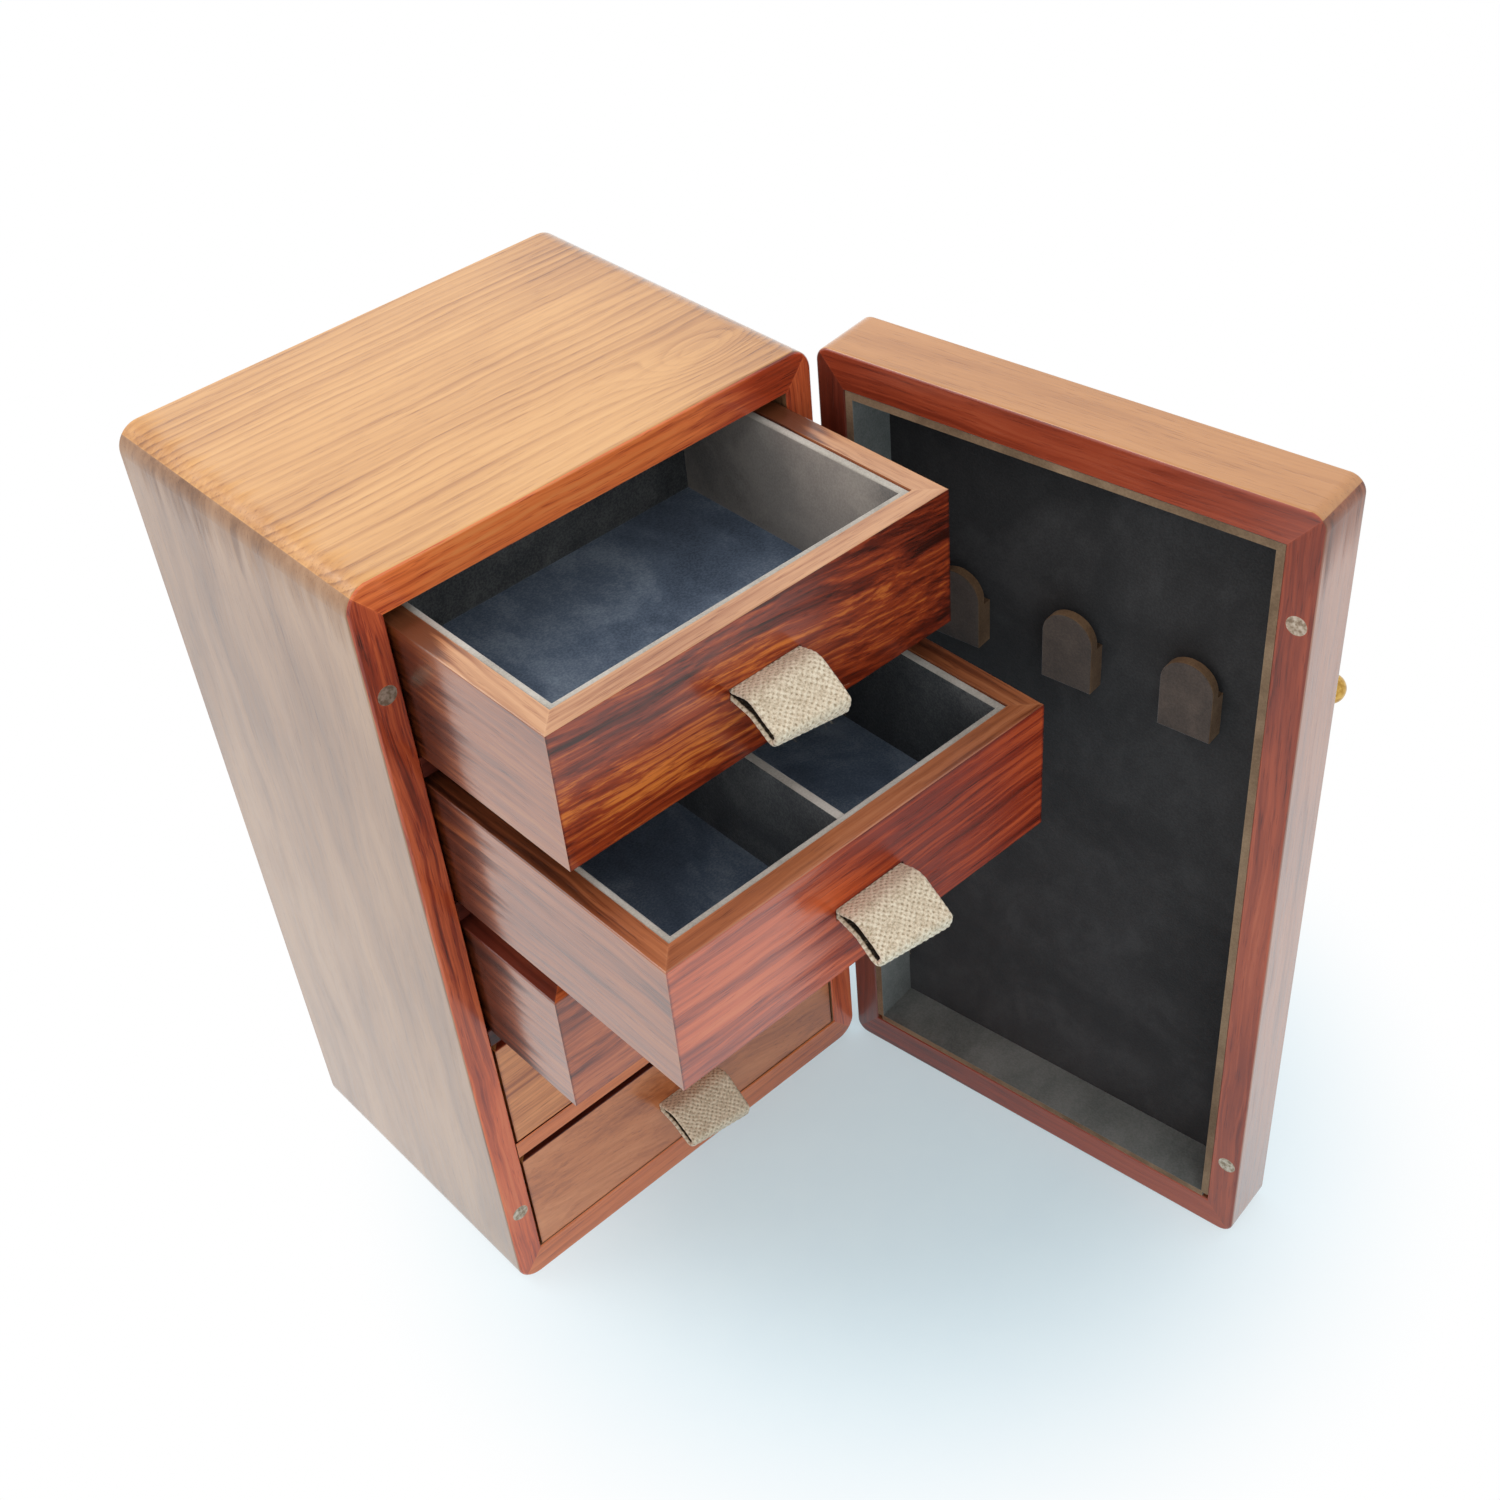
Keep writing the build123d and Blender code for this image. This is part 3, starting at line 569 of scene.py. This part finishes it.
def paint_door_boards():
    # The door's top is in lighter tan tones, partly its own colour and partly painted light from above.
    top = wood("door_top", "X", DOOR_TOP_TAN, PLAIN, seed=13, on_door=True, gloss=1.36, wear_and_highlight=-0.12)
    # Painted shade: the door's edges grow darker near their upper ends, with the coat thinned so that the
    # reflection breaks off there.
    edge = wood("door_edge", "Z", DOOR_EDGE, QUIET, seed=14, on_door=True,
                shade=(*DOOR_END, 0.25), dull=(*DOOR_END, 0.9))
    rail = wood("door_rail", "X", DOOR_RED, SMOOTH, seed=11, on_door=True, gloss=1.32)
    # Painted shade: the door's low rail darkens towards the hinge.
    low_rail = wood("door_low_rail", "X", DOOR_RED, SMOOTH, seed=17, on_door=True, gloss=1.26, body=0.35,
                    shade=(-0.03, 0.08, 0.28))
    stile = wood("door_stile", "Z", DOOR_STILE, QUIET, seed=12, on_door=True, gloss=1.28, body=0.35,
                 shade=(0.14, 0.26, 0.20))
    # Painted shade: the hinge stile is in dark tones, as the shade on the door's hinge side.
    dark_stile = wood("door_dark_stile", "Z", SHADE_BROWN, QUIET, seed=16, on_door=True, gloss=1.32)
    panel = wood("door_panel_face", "Z", VEILED, LIVELY, seed=15, on_door=True)
    for node, body, rim in (
        ("door_top_rail", top, rail),
        ("door_bottom_rail", edge, low_rail),
        ("door_latch_stile", edge, stile),
        ("door_hinge_stile", edge, dark_stile),
        ("door_panel", panel, panel),
    ):
        paint(node, body, rim, choose=faces_cabinet)


def paint_door_linings():
    lining = suede("door_suede", CHARCOAL, seed=21, on_door=True, nap_depth=0.14, sheen=0.3)
    strip = suede("door_strip_suede", STRIP_GREY, seed=22, on_door=True, nap_depth=0.14, sheen=0.1)
    board = suede("bare_board_edge", BARE_BOARD, seed=23, on_door=True, nap_depth=0.1, sheen=0.1)
    hook_edge = suede("hook_edge", HOOK_BOARD, seed=25, on_door=True, nap_depth=0.1, sheen=0.05)
    hook = suede("hook_suede", HOOK_BROWN, seed=24, on_door=True, nap_depth=0.12)
    paint("door_lining", lining)
    paint("door_lining_strips", strip, board, choose=faces_cabinet)
    paint("hook_plates", hook_edge, hook, choose=faces_cabinet)
    paint("hook_spacers", hook_edge, hook, choose=faces_cabinet)


# The boards of drawers 1 to 5, counted from the top
DRAWER_FRONTS = {
    # Painted shade: the fronts of drawers 1 and 2 darken towards the right, and their coat is thinned there
    # to take out the white floor's reflection.
    1: dict(tones=GOLD, look=FLAMED, gloss=1.44, body=0.3, shade=(-0.03, 0.07, 0.26),
            dull=(-0.04, 0.05, 0.8)),
    2: dict(tones=FLAME_RED, look=QUIET, gloss=1.70, body=0.25, shade=(-0.035, 0.02, 0.30),
            dull=(-0.035, -0.008, 1.0)),
    3: dict(tones=DARK_RED, look=LIVELY, gloss=1.44, body=0.4, shade=(-0.046, -0.064, 0.12)),
    4: dict(tones=BRIGHT_TAN, look=QUIET, gloss=1.40, body=0.4),
    5: dict(tones=ROSE_TAN, look=SOFT, gloss=1.38, body=0.4),
}
# Painted shade: the front rims of drawers 4 and 5 are darker, where they show in the gaps between drawers.
# Drawer 1's pale tan rims are partly painted light from above.
FRONT_RIMS = {1: PALE_TAN, 2: RIM_BROWN, 3: DARK_RED, 4: DOOR_RED, 5: SHADE_BROWN}
# Painted shade: the side rims of drawers 1 and 2 darken towards the opening, and drawer 3's are dark all
# over.
SIDE_RIMS = {
    1: dict(tones=PALE_TAN, shade=(-0.086, -0.068, 0.75)),
    2: dict(tones=RIM_BROWN, shade=(-0.16, -0.09, 0.45)),
    3: dict(tones=SHADE_BROWN),
    4: dict(tones=TAN),
    5: dict(tones=TAN),
}

# Drawers 1 to 3 are drawn out. Near the opening their sides are darker as painted shade, and duller, with
# the coat thinned to take out the white floor's reflection there.
DRAWN_OUT = (1, 2, 3)
OPENING_PAINTED_SHADE = dict(shade=(-0.087, -0.064, 0.40), dull=(-0.088, -0.072, 0.80))

# Seeds: each drawer's first one, and the step between drawers
DRAWER_SEED = 40
DRAWER_SEED_STEP = 7


def paint_drawer_boards(number, base):
    seed = DRAWER_SEED + DRAWER_SEED_STEP * number
    name = f"drawer_{number}"
    opening_painted_shade = OPENING_PAINTED_SHADE if number in DRAWN_OUT else {}
    front = wood(f"{name}_front_face", "X", seed=seed, wear_and_highlight=-0.3, **DRAWER_FRONTS[number])
    rim = wood(f"{name}_rim", "X", FRONT_RIMS[number], QUIET, seed=seed + 1, gloss=1.36)
    side = wood(f"{name}_side_face", "Y", DRAWER_SIDE, QUIET, seed=seed + 2, gloss=1.70, body=0.3,
                blur=0.14, **opening_painted_shade)
    side_rim = wood(f"{name}_side_rim", "Y", look=QUIET, seed=seed + 3, gloss=1.36, **SIDE_RIMS[number])
    paint(f"{name}_front", front, rim, choose=faces_up)
    paint(f"{name}_sides", side, side_rim, choose=faces_up)
    paint(f"{name}_back", side, rim, choose=faces_up)
    paint(f"{name}_bottom", base)


# A drawer lining's slots, in the order in which its materials are given. A face whose normal points up
# by more than LEVEL is floor, or rim where it lies more than FLOOR_RISE above the lining's underside.
WALL_SLOT, FLOOR_SLOT, RIM_SLOT, PAINTED_LIGHT_WALL_SLOT = range(4)
LEVEL = 0.3
FLOOR_RISE = 0.002


def lining_slots(number):
    """Tells walls, floor and rims of a drawer's lining apart. Drawer 1's wall that faces left is lighter,
    as painted light.
    """
    floor_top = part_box(f"drawer_{number}_lining")[0].z + FLOOR_RISE
    left_facing = PAINTED_LIGHT_WALL_SLOT if number == 1 else WALL_SLOT

    def choose(middle, normal):
        if normal.z > LEVEL:
            return FLOOR_SLOT if middle.z < floor_top else RIM_SLOT
        return left_facing if normal.x < -FACING else WALL_SLOT

    return choose


def paint_drawers():
    floor = suede("drawer_floor_suede", FLOOR_BLUE, seed=31, nap_depth=0.15)
    walls = suede("drawer_wall_suede", WALL_GREY, seed=32)
    painted_light_wall = suede("painted_light_wall_suede", PAINTED_LIGHT_WALL_GREY, seed=35, nap_depth=0.12)
    rims = suede("drawer_rim_suede", RIM_GREY, seed=33, nap_depth=0.12)
    base = wood("drawer_base", "X", TAN, QUIET, seed=34)
    for number in DRAWER_NUMBERS:
        paint_drawer_boards(number, base)
        paint(f"drawer_{number}_lining", walls, floor, rims, painted_light_wall, choose=lining_slots(number))
    paint("drawer_2_divider", walls, rims, choose=faces_up)


def paint_metal():
    magnet = metal("magnet_metal", NICKEL, roughness=0.46, seed=51)
    brass = metal("hinge_metal", HINGE_BRASS, roughness=0.34, seed=52)
    knob = metal("knob_metal", KNOB_BRASS, roughness=0.22, seed=53)
    for node, material in (
        ("cabinet_magnets", magnet),
        ("door_magnets", magnet),
        ("cabinet_hinge_leaves", brass),
        ("cabinet_hinge_screws", brass),
        ("hinge_pins", brass),
        ("door_hinge_leaves", brass),
        ("door_hinge_screws", brass),
        ("door_knob", knob),
        ("door_knob_stud", knob),
    ):
        paint(node, material)


# Woven pull loops. Each line is the middle of the webbing at one of its edges, seen from the side:
# distance out of the drawer front, then height. The right edge stands fuller than the left one.
PULL_LEFT = [
    (-0.0059, 0.0091), (-0.0059, 0.0011), (0.0, 0.0011), (0.0068, 0.0028), (0.0168, -0.0046),
    (0.0146, -0.0086), (0.0070, -0.0030), (0.0, -0.0011), (-0.0059, -0.0011), (-0.0059, -0.0091),
]
PULL_RIGHT = [
    (-0.0059, 0.0091), (-0.0059, 0.0011), (0.0, 0.0011), (0.0070, 0.0030), (0.0182, -0.0060),
    (0.0162, -0.0116), (0.0070, -0.0042), (0.0, -0.0011), (-0.0059, -0.0011), (-0.0059, -0.0091),
]
PULL_BENDS = [0.0012, 0.0025, 0.0050, 0.0015, 0.0015, 0.0050, 0.0025, 0.0012]
BEND_STEPS = 10
PULL_WIDTH = 0.025
PULL_THICKNESS = 0.0019
PULL_SEED = 100

# The webbing's mesh: the size of its cells, a length a little under the loop's that sets how many rows
# it has, and the points on the half circle at each edge, with the two where it meets the faces
PULL_STEP = 0.00025
PULL_ROWS_LENGTH = 0.064
PULL_EDGE_POINTS = 9

# The weave, and how its yarns and the band stray: the number of cells over the band, and the size
KNOT_WIDTH = 0.00106
KNOT_LENGTH = 0.00098
KNOT_HEIGHT = 0.00030
YARN_CELLS = 24
YARN_STRAY = 0.22
BAND_CELLS = 7
BAND_STRAY = 0.00020

# A point lower than this share of half the thickness is on the face inside the loop, which is painted
# darker as shade
INNER_FACE = -0.99

# Loose fibres: three-sided tubes of five rings, on the webbing in front of the drawer
FIBRE_COUNT = 700
FIBRE_RADIUS = 0.00005
FIBRE_SPANS = (0.0008, 0.0030)
FIBRE_RINGS = 5
FIBRE_ROOT_DEPTH = 0.0001
FIBRE_LEAN = 0.7
FIBRE_BEND = 0.45
FIBRE_TAPER = 0.7
FIBRE_FRONT_GAP = 0.001
THIRDS = (0, 2 * math.pi / 3, 4 * math.pi / 3)


def rounded_line(points, bends):
    """A line through the points with each corner turned into an arc of its bend's radius."""
    line = [Vector(points[0])]
    for index, bend in enumerate(bends, start=1):
        corner = Vector(points[index])
        back = (Vector(points[index - 1]) - corner).normalized()
        on = (Vector(points[index + 1]) - corner).normalized()
        half_turn = back.angle(on) / 2
        reach = bend / math.tan(half_turn)
        centre = corner + (back + on).normalized() * bend / math.sin(half_turn)
        start = corner + back * reach - centre
        end = corner + on * reach - centre
        sweep = start.angle_signed(end)
        for step in range(BEND_STEPS + 1):
            turn = Matrix.Rotation(-sweep * step / BEND_STEPS, 2)
            line.append(centre + turn @ start)
    line.append(Vector(points[-1]))
    return line


def resampled(line, count):
    """The given number of points at even steps along a line, and the line's length."""
    marks = np.array([(p.x, p.y) for p in line])
    gaps = np.hypot(*np.diff(marks, axis=0).T)
    at = np.concatenate([[0], np.cumsum(gaps)])
    even = np.linspace(0, at[-1], count)
    return np.column_stack([np.interp(even, at, marks[:, axis]) for axis in (0, 1)]), at[-1]


def pull_lines():
    """The middle of the webbing at its left and right edges, in rows at even steps, and its length."""
    rows = int(PULL_ROWS_LENGTH / PULL_STEP)
    left, left_length = resampled(rounded_line(PULL_LEFT, PULL_BENDS), rows)
    right, right_length = resampled(rounded_line(PULL_RIGHT, PULL_BENDS), rows)
    return left, right, (left_length + right_length) / 2


def band_section():
    """The webbing's outline across, with round edges: each point's place across it and above its middle."""
    half, thick = PULL_WIDTH / 2, PULL_THICKNESS / 2
    face = np.linspace(-(half - thick), half - thick, int(PULL_WIDTH / PULL_STEP))
    turn = np.linspace(-math.pi / 2, math.pi / 2, PULL_EDGE_POINTS)[1:-1]
    edge_x, edge_n = half - thick + thick * np.cos(turn), thick * np.sin(turn)
    upper, lower = np.full(len(face), thick), np.full(len(face), -thick)
    ring_x = np.concatenate([face, edge_x[::-1], face[::-1], -edge_x])
    ring_n = np.concatenate([upper, edge_n[::-1], lower, edge_n])
    return ring_x, ring_n


def smooth_jitter(shape, cells, amount, source):
    """Slow random drift over a grid, blended between the corners of coarse cells."""
    coarse = source.normal(0, amount, (cells + 2, cells + 2))
    rows = np.linspace(0, cells, shape[0])
    columns = np.linspace(0, cells, shape[1])
    row, column = rows.astype(int), columns.astype(int)
    down, right = (rows - row)[:, None], (columns - column)[None, :]

    def along_row(row):
        near, far = coarse[np.ix_(row, column)], coarse[np.ix_(row, column + 1)]
        return near * (1 - right) + far * right

    return along_row(row) * (1 - down) + along_row(row + 1) * down


def weave(across, along, jitter):
    """How far the surface lies below the crowns of the yarns, from 0 to 1: crowns and hollows alternate."""
    across_wave = np.sin(math.pi * (across / KNOT_WIDTH + jitter[0]))
    along_wave = np.sin(math.pi * (along / KNOT_LENGTH + jitter[1]))
    return 0.5 - 0.5 * across_wave * along_wave


def band_surface(origin, source):
    """Points over the whole webbing, how deep in a hollow each is, which are inside, and its length."""
    left, right, length = pull_lines()
    ring_x, ring_n = band_section()
    share = ((ring_x + PULL_WIDTH / 2) / PULL_WIDTH)[None, :, None]
    line = left[:, None, :] * (1 - share) + right[:, None, :] * share
    tangent = np.gradient(line, axis=0)
    tangent /= np.linalg.norm(tangent, axis=2, keepdims=True)

    rows = len(left)
    across = np.tile(ring_x, (rows, 1))
    along = np.tile(np.linspace(0, length, rows)[:, None], (1, len(ring_x)))
    jitter = [smooth_jitter(across.shape, YARN_CELLS, YARN_STRAY, source) for _ in range(2)]
    hollow = weave(across, along, jitter)
    side = ring_n / (PULL_THICKNESS / 2)
    out = ring_n[None, :] - side[None, :] * KNOT_HEIGHT * hollow ** 2
    wander = smooth_jitter(across.shape, BAND_CELLS, BAND_STRAY, source)

    x = origin.x + across + wander
    y = origin.y - line[..., 0] + tangent[..., 1] * out
    z = origin.z + line[..., 1] + tangent[..., 0] * out
    inside = np.broadcast_to(ring_n < INNER_FACE * (PULL_THICKNESS / 2), across.shape)
    return np.stack([x, y, z], axis=-1), hollow, inside, length


def tube_faces(rows, columns):
    """The faces of a closed tube whose points come in rows, one row after the other round the tube."""
    faces = []
    for row in range(rows - 1):
        this, following = row * columns, (row + 1) * columns
        for column in range(columns):
            after = (column + 1) % columns
            faces.append((this + column, this + after, following + after, following + column))
    faces.append(tuple(reversed(range(columns))))
    faces.append(tuple(range((rows - 1) * columns, rows * columns)))
    return faces


def webbing_mesh(number, origin, source):
    """The woven band of one pull as a closed mesh, its yarns raised from both of its faces."""
    points, hollow, inside, length = band_surface(origin, source)
    mesh = bpy.data.meshes.new(f"pull_{number}_webbing")
    mesh.from_pydata(points.reshape(-1, 3).tolist(), [], tube_faces(*hollow.shape))
    for name, values in (("hollow", hollow), ("inside", inside)):
        layer = mesh.attributes.new(name, "FLOAT", "POINT")
        layer.data.foreach_set("value", values.reshape(-1).astype(np.float32))
    mesh.shade_smooth()
    return mesh, length


def add_fibre(build, root, source):
    """One hair-thin curved and tapered tube that grows out of a point of the webbing."""
    lean = Vector(source.normal(0, 1, 3))
    heading = (root.normal + FIBRE_LEAN * lean.normalized()).normalized()
    bend = Vector(source.normal(0, 1, 3)).normalized()
    span = source.uniform(*FIBRE_SPANS)
    first = heading.orthogonal().normalized()
    second = heading.cross(first)
    start = root.co - root.normal * FIBRE_ROOT_DEPTH
    rings = []
    for step in range(FIBRE_RINGS):
        share = step / (FIBRE_RINGS - 1)
        middle = start + heading * span * share + bend * span * FIBRE_BEND * share**2
        radius = FIBRE_RADIUS * (1 - FIBRE_TAPER * share)
        spokes = [(first * math.cos(angle) + second * math.sin(angle)) * radius for angle in THIRDS]
        rings.append([build.verts.new(middle + spoke) for spoke in spokes])
    for low, high in zip(rings, rings[1:]):
        for k in range(3):
            build.faces.new((low[k], low[(k + 1) % 3], high[(k + 1) % 3], high[k]))
    build.faces.new(reversed(rings[0]))
    build.faces.new(rings[-1])


def fibre_mesh(number, webbing, source):
    """The loose fibres on the part of the webbing that stands clear of the drawer's front."""
    mesh = bpy.data.meshes.new(f"pull_{number}_fibres")
    build = bmesh.new()
    count = len(webbing.vertices)
    clear_of_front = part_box(f"drawer_{number}_front")[0].y - FIBRE_FRONT_GAP
    for _ in range(FIBRE_COUNT):
        root = webbing.vertices[int(source.integers(count))]
        if root.co.y <= clear_of_front:
            add_fibre(build, root, source)
    build.to_mesh(mesh)
    build.free()
    mesh.shade_smooth()
    return mesh


# The look of the webbing and of its loose fibres
YARN = ((46, 34, 24), (120, 98, 74), (182, 160, 131), (227, 206, 178), (250, 234, 208))
PALE_FIBRE = (226, 212, 186)
TAN_FIBRE = (176, 150, 116)
BLOTCH_SCALE = (330, 330, 330)
SPECK_SCALE = (1600, 1600, 1600)
LOOSE_FIBRE_SCALE = (900, 900, 900)
YARN_SPAN = (0.3, 0.7)
BLOTCH_TONES = (0.95, 0.70)
SPECK_TONES = (-0.20, 0.16)
HOLLOW_CHANGES = (0.12, -0.3)
HOLLOW_SPAN = (0.36, 0.96)
HOLLOW_PAINTED_SHADE = 0.31
INSIDE_PAINTED_SHADE = 0.8
LOOSE_FIBRE_SPAN = (0.35, 0.65)
YARN_RELIEF = 0.0002
YARN_RELIEF_STRENGTH = 0.8


def webbing_material():
    """Coarse natural fibre: cream yarn with tan fibres, and painted shade in the hollows and on the inner
    face.
    """
    shader = new_shader("woven_fibre")
    place = object_place(shader)
    hollow = shader.add("ShaderNodeAttribute", attribute_name="hollow").outputs["Fac"]
    inside = shader.add("ShaderNodeAttribute", attribute_name="inside").outputs["Fac"]
    blotch = shader.noise(place, BLOTCH_SCALE, detail=3.0, roughness=0.6)
    speck = shader.noise(place, SPECK_SCALE, detail=4.0, roughness=0.7)
    tone = shader.remap(blotch, *YARN_SPAN, *BLOTCH_TONES)
    tone = shader.math("ADD", tone, shader.remap(speck, *YARN_SPAN, *SPECK_TONES))
    hollow = shader.math("ADD", hollow, shader.remap(blotch, *YARN_SPAN, *HOLLOW_CHANGES))
    # Painted shade: darker in the weave's hollows and on the face inside the loop
    tone = shader.lowered(tone, hollow, *HOLLOW_SPAN, HOLLOW_PAINTED_SHADE)
    tone = shader.math("SUBTRACT", tone, shader.math("MULTIPLY", inside, INSIDE_PAINTED_SHADE))
    return shader.finish_principled({
        "Base Color": shader.ramp(tone, YARN),
        "Roughness": 0.95,
        "Specular IOR Level": 0.15,
        "Sheen Weight": 0.25,
        "Normal": shader.bump(speck, YARN_RELIEF, YARN_RELIEF_STRENGTH),
    })


def fibre_material():
    """Loose fibres, from pale to tan."""
    shader = new_shader("loose_fibre")
    tone = shader.noise(object_place(shader), LOOSE_FIBRE_SCALE)
    share = shader.remap(tone, *LOOSE_FIBRE_SPAN)
    colour = shader.mix(share, srgb(*PALE_FIBRE), srgb(*TAN_FIBRE))
    return shader.finish_principled({"Base Color": colour, "Roughness": 0.9})


def make_pull(number, woven, loose):
    """One drawer's webbing and its loose fibres, in place of the plain CAD loop."""
    source = np.random.default_rng(PULL_SEED + number)
    node = f"drawer_{number}_pull"
    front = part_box(f"drawer_{number}_front")
    origin = Vector((0.0, front[0].y, (front[0].z + front[1].z) / 2))
    mesh, length = webbing_mesh(number, origin, source)
    mesh.materials.append(woven)
    webbing = new_object(f"pull_{number}_webbing", mesh)
    hairs_mesh = fibre_mesh(number, mesh, source)
    hairs_mesh.materials.append(loose)
    hairs = new_object(f"pull_{number}_fibres", hairs_mesh)
    for piece in (webbing, hairs):
        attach(piece, f"drawer_{number}")
    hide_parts(node)


def make_pulls():
    woven = webbing_material()
    loose = fibre_material()
    for number in DRAWER_NUMBERS:
        make_pull(number, woven, loose)


# The floor: pale paper that catches the object's shadow, and turns plain white for the camera between
# two distances from its centre. Near the object it already glows in part with a cool tint: painted light
# that lightens the shadow and makes it cool.
FLOOR_HALF = 4.0
FLOOR_CENTRE = (0.07, -0.09)
SHADOW_REACH = (0.07, 0.21)
FLOOR_GLOW = 0.42
NEAR_GLOW = (0.82, 0.95, 1.0, 1.0)
# The paper's blue tint is painted cool light for the shadow; further out the white glow covers it.
PAPER = (0.71, 0.89, 0.98, 1.0)
PALER_PAPER = (0.73, 0.91, 0.99, 1.0)
GRIT_SCALE = (60, 60, 60)
GRIT_SPAN = (0.3, 0.7)

# The world, and the one lamp, which hangs high behind the object on the left
WORLD_COLOUR = (0.93, 0.97, 1.0, 1.0)
WORLD_STRENGTH = 0.95
KEY_PLACE = (-0.75, 0.75, 1.45)
KEY_AIM = (0.0, -0.05, 0.15)
KEY_SIZE = 1.1
KEY_POWER = 10.0
KEY_COLOUR = (1.0, 0.97, 0.93)


def seen_directly(shader):
    """1 for rays from the camera or by way of gloss or glass, else 0."""
    path = shader.add("ShaderNodeLightPath").outputs
    share = shader.math("MAXIMUM", path["Is Camera Ray"], path["Is Glossy Ray"])
    return shader.math("MAXIMUM", share, path["Is Transmission Ray"])


def floor_material():
    shader = new_shader("floor_paper")
    place = object_place(shader)
    distance = shader.measure("LENGTH", shader.vector_math("SUBTRACT", place, (*FLOOR_CENTRE, 0.0)))
    far = shader.remap(distance, *SHADOW_REACH, FLOOR_GLOW, 1.0)
    grit = shader.noise(place, GRIT_SCALE)
    paper = shader.mix(shader.remap(grit, *GRIT_SPAN), PAPER, PALER_PAPER)
    inputs = {"Base Color": paper, "Roughness": 0.8, "Specular IOR Level": 0.1}
    lit = shader.add("ShaderNodeBsdfPrincipled", inputs)
    near_tint = shader.mix(shader.remap(distance, *SHADOW_REACH), NEAR_GLOW, WHITE)
    glow = shader.add("ShaderNodeEmission", {"Color": near_tint, "Strength": 1.0})
    share = shader.math("MULTIPLY", far, seen_directly(shader))
    mixed = shader.add("ShaderNodeMixShader", {0: share, 1: lit.outputs[0], 2: glow.outputs[0]})
    return shader.finish(mixed.outputs[0])


def make_floor():
    mesh = bpy.data.meshes.new("floor")
    half = FLOOR_HALF
    corners = [(-half, -half, 0), (half, -half, 0), (half, half, 0), (-half, half, 0)]
    mesh.from_pydata(corners, [], [(0, 1, 2, 3)])
    mesh.materials.append(floor_material())
    floor = new_object("floor", mesh)


def make_world():
    """Even studio light, which reads as plain white where it is seen directly."""
    world = bpy.data.worlds.new("studio")
    bpy.context.scene.world = world
    shader = Shader(world, "ShaderNodeOutputWorld")
    light = shader.add("ShaderNodeBackground", {"Color": WORLD_COLOUR, "Strength": WORLD_STRENGTH})
    white = shader.add("ShaderNodeBackground", {"Color": WHITE})
    inputs = {0: seen_directly(shader), 1: light.outputs[0], 2: white.outputs[0]}
    shader.finish(shader.add("ShaderNodeMixShader", inputs).outputs[0])


def make_key_lamp():
    data = bpy.data.lights.new("key", "AREA")
    data.shape = "DISK"
    data.size = KEY_SIZE
    data.energy = KEY_POWER
    data.color = KEY_COLOUR
    lamp = new_object("key", data)
    lamp.location = KEY_PLACE
    lamp.rotation_euler = (Vector(KEY_AIM) - Vector(KEY_PLACE)).to_track_quat("-Z", "Y").to_euler()


def make_camera():
    data = bpy.data.cameras.new("camera")
    data.sensor_width = SENSOR_WIDTH_MM
    data.lens = SENSOR_WIDTH_MM * FOCAL_SHARE
    data.clip_start = CLIP_START
    camera = new_object("camera", data)
    camera.location = CAMERA_PLACE
    camera.rotation_euler = [math.radians(angle) for angle in CAMERA_TURN_DEGREES]
    bpy.context.scene.camera = camera


paint_cabinet()
paint_door_boards()
paint_door_linings()
paint_drawers()
paint_metal()
make_pulls()
make_floor()
make_world()
make_key_lamp()
make_camera()
bpy.context.scene.view_settings.view_transform = "Standard"
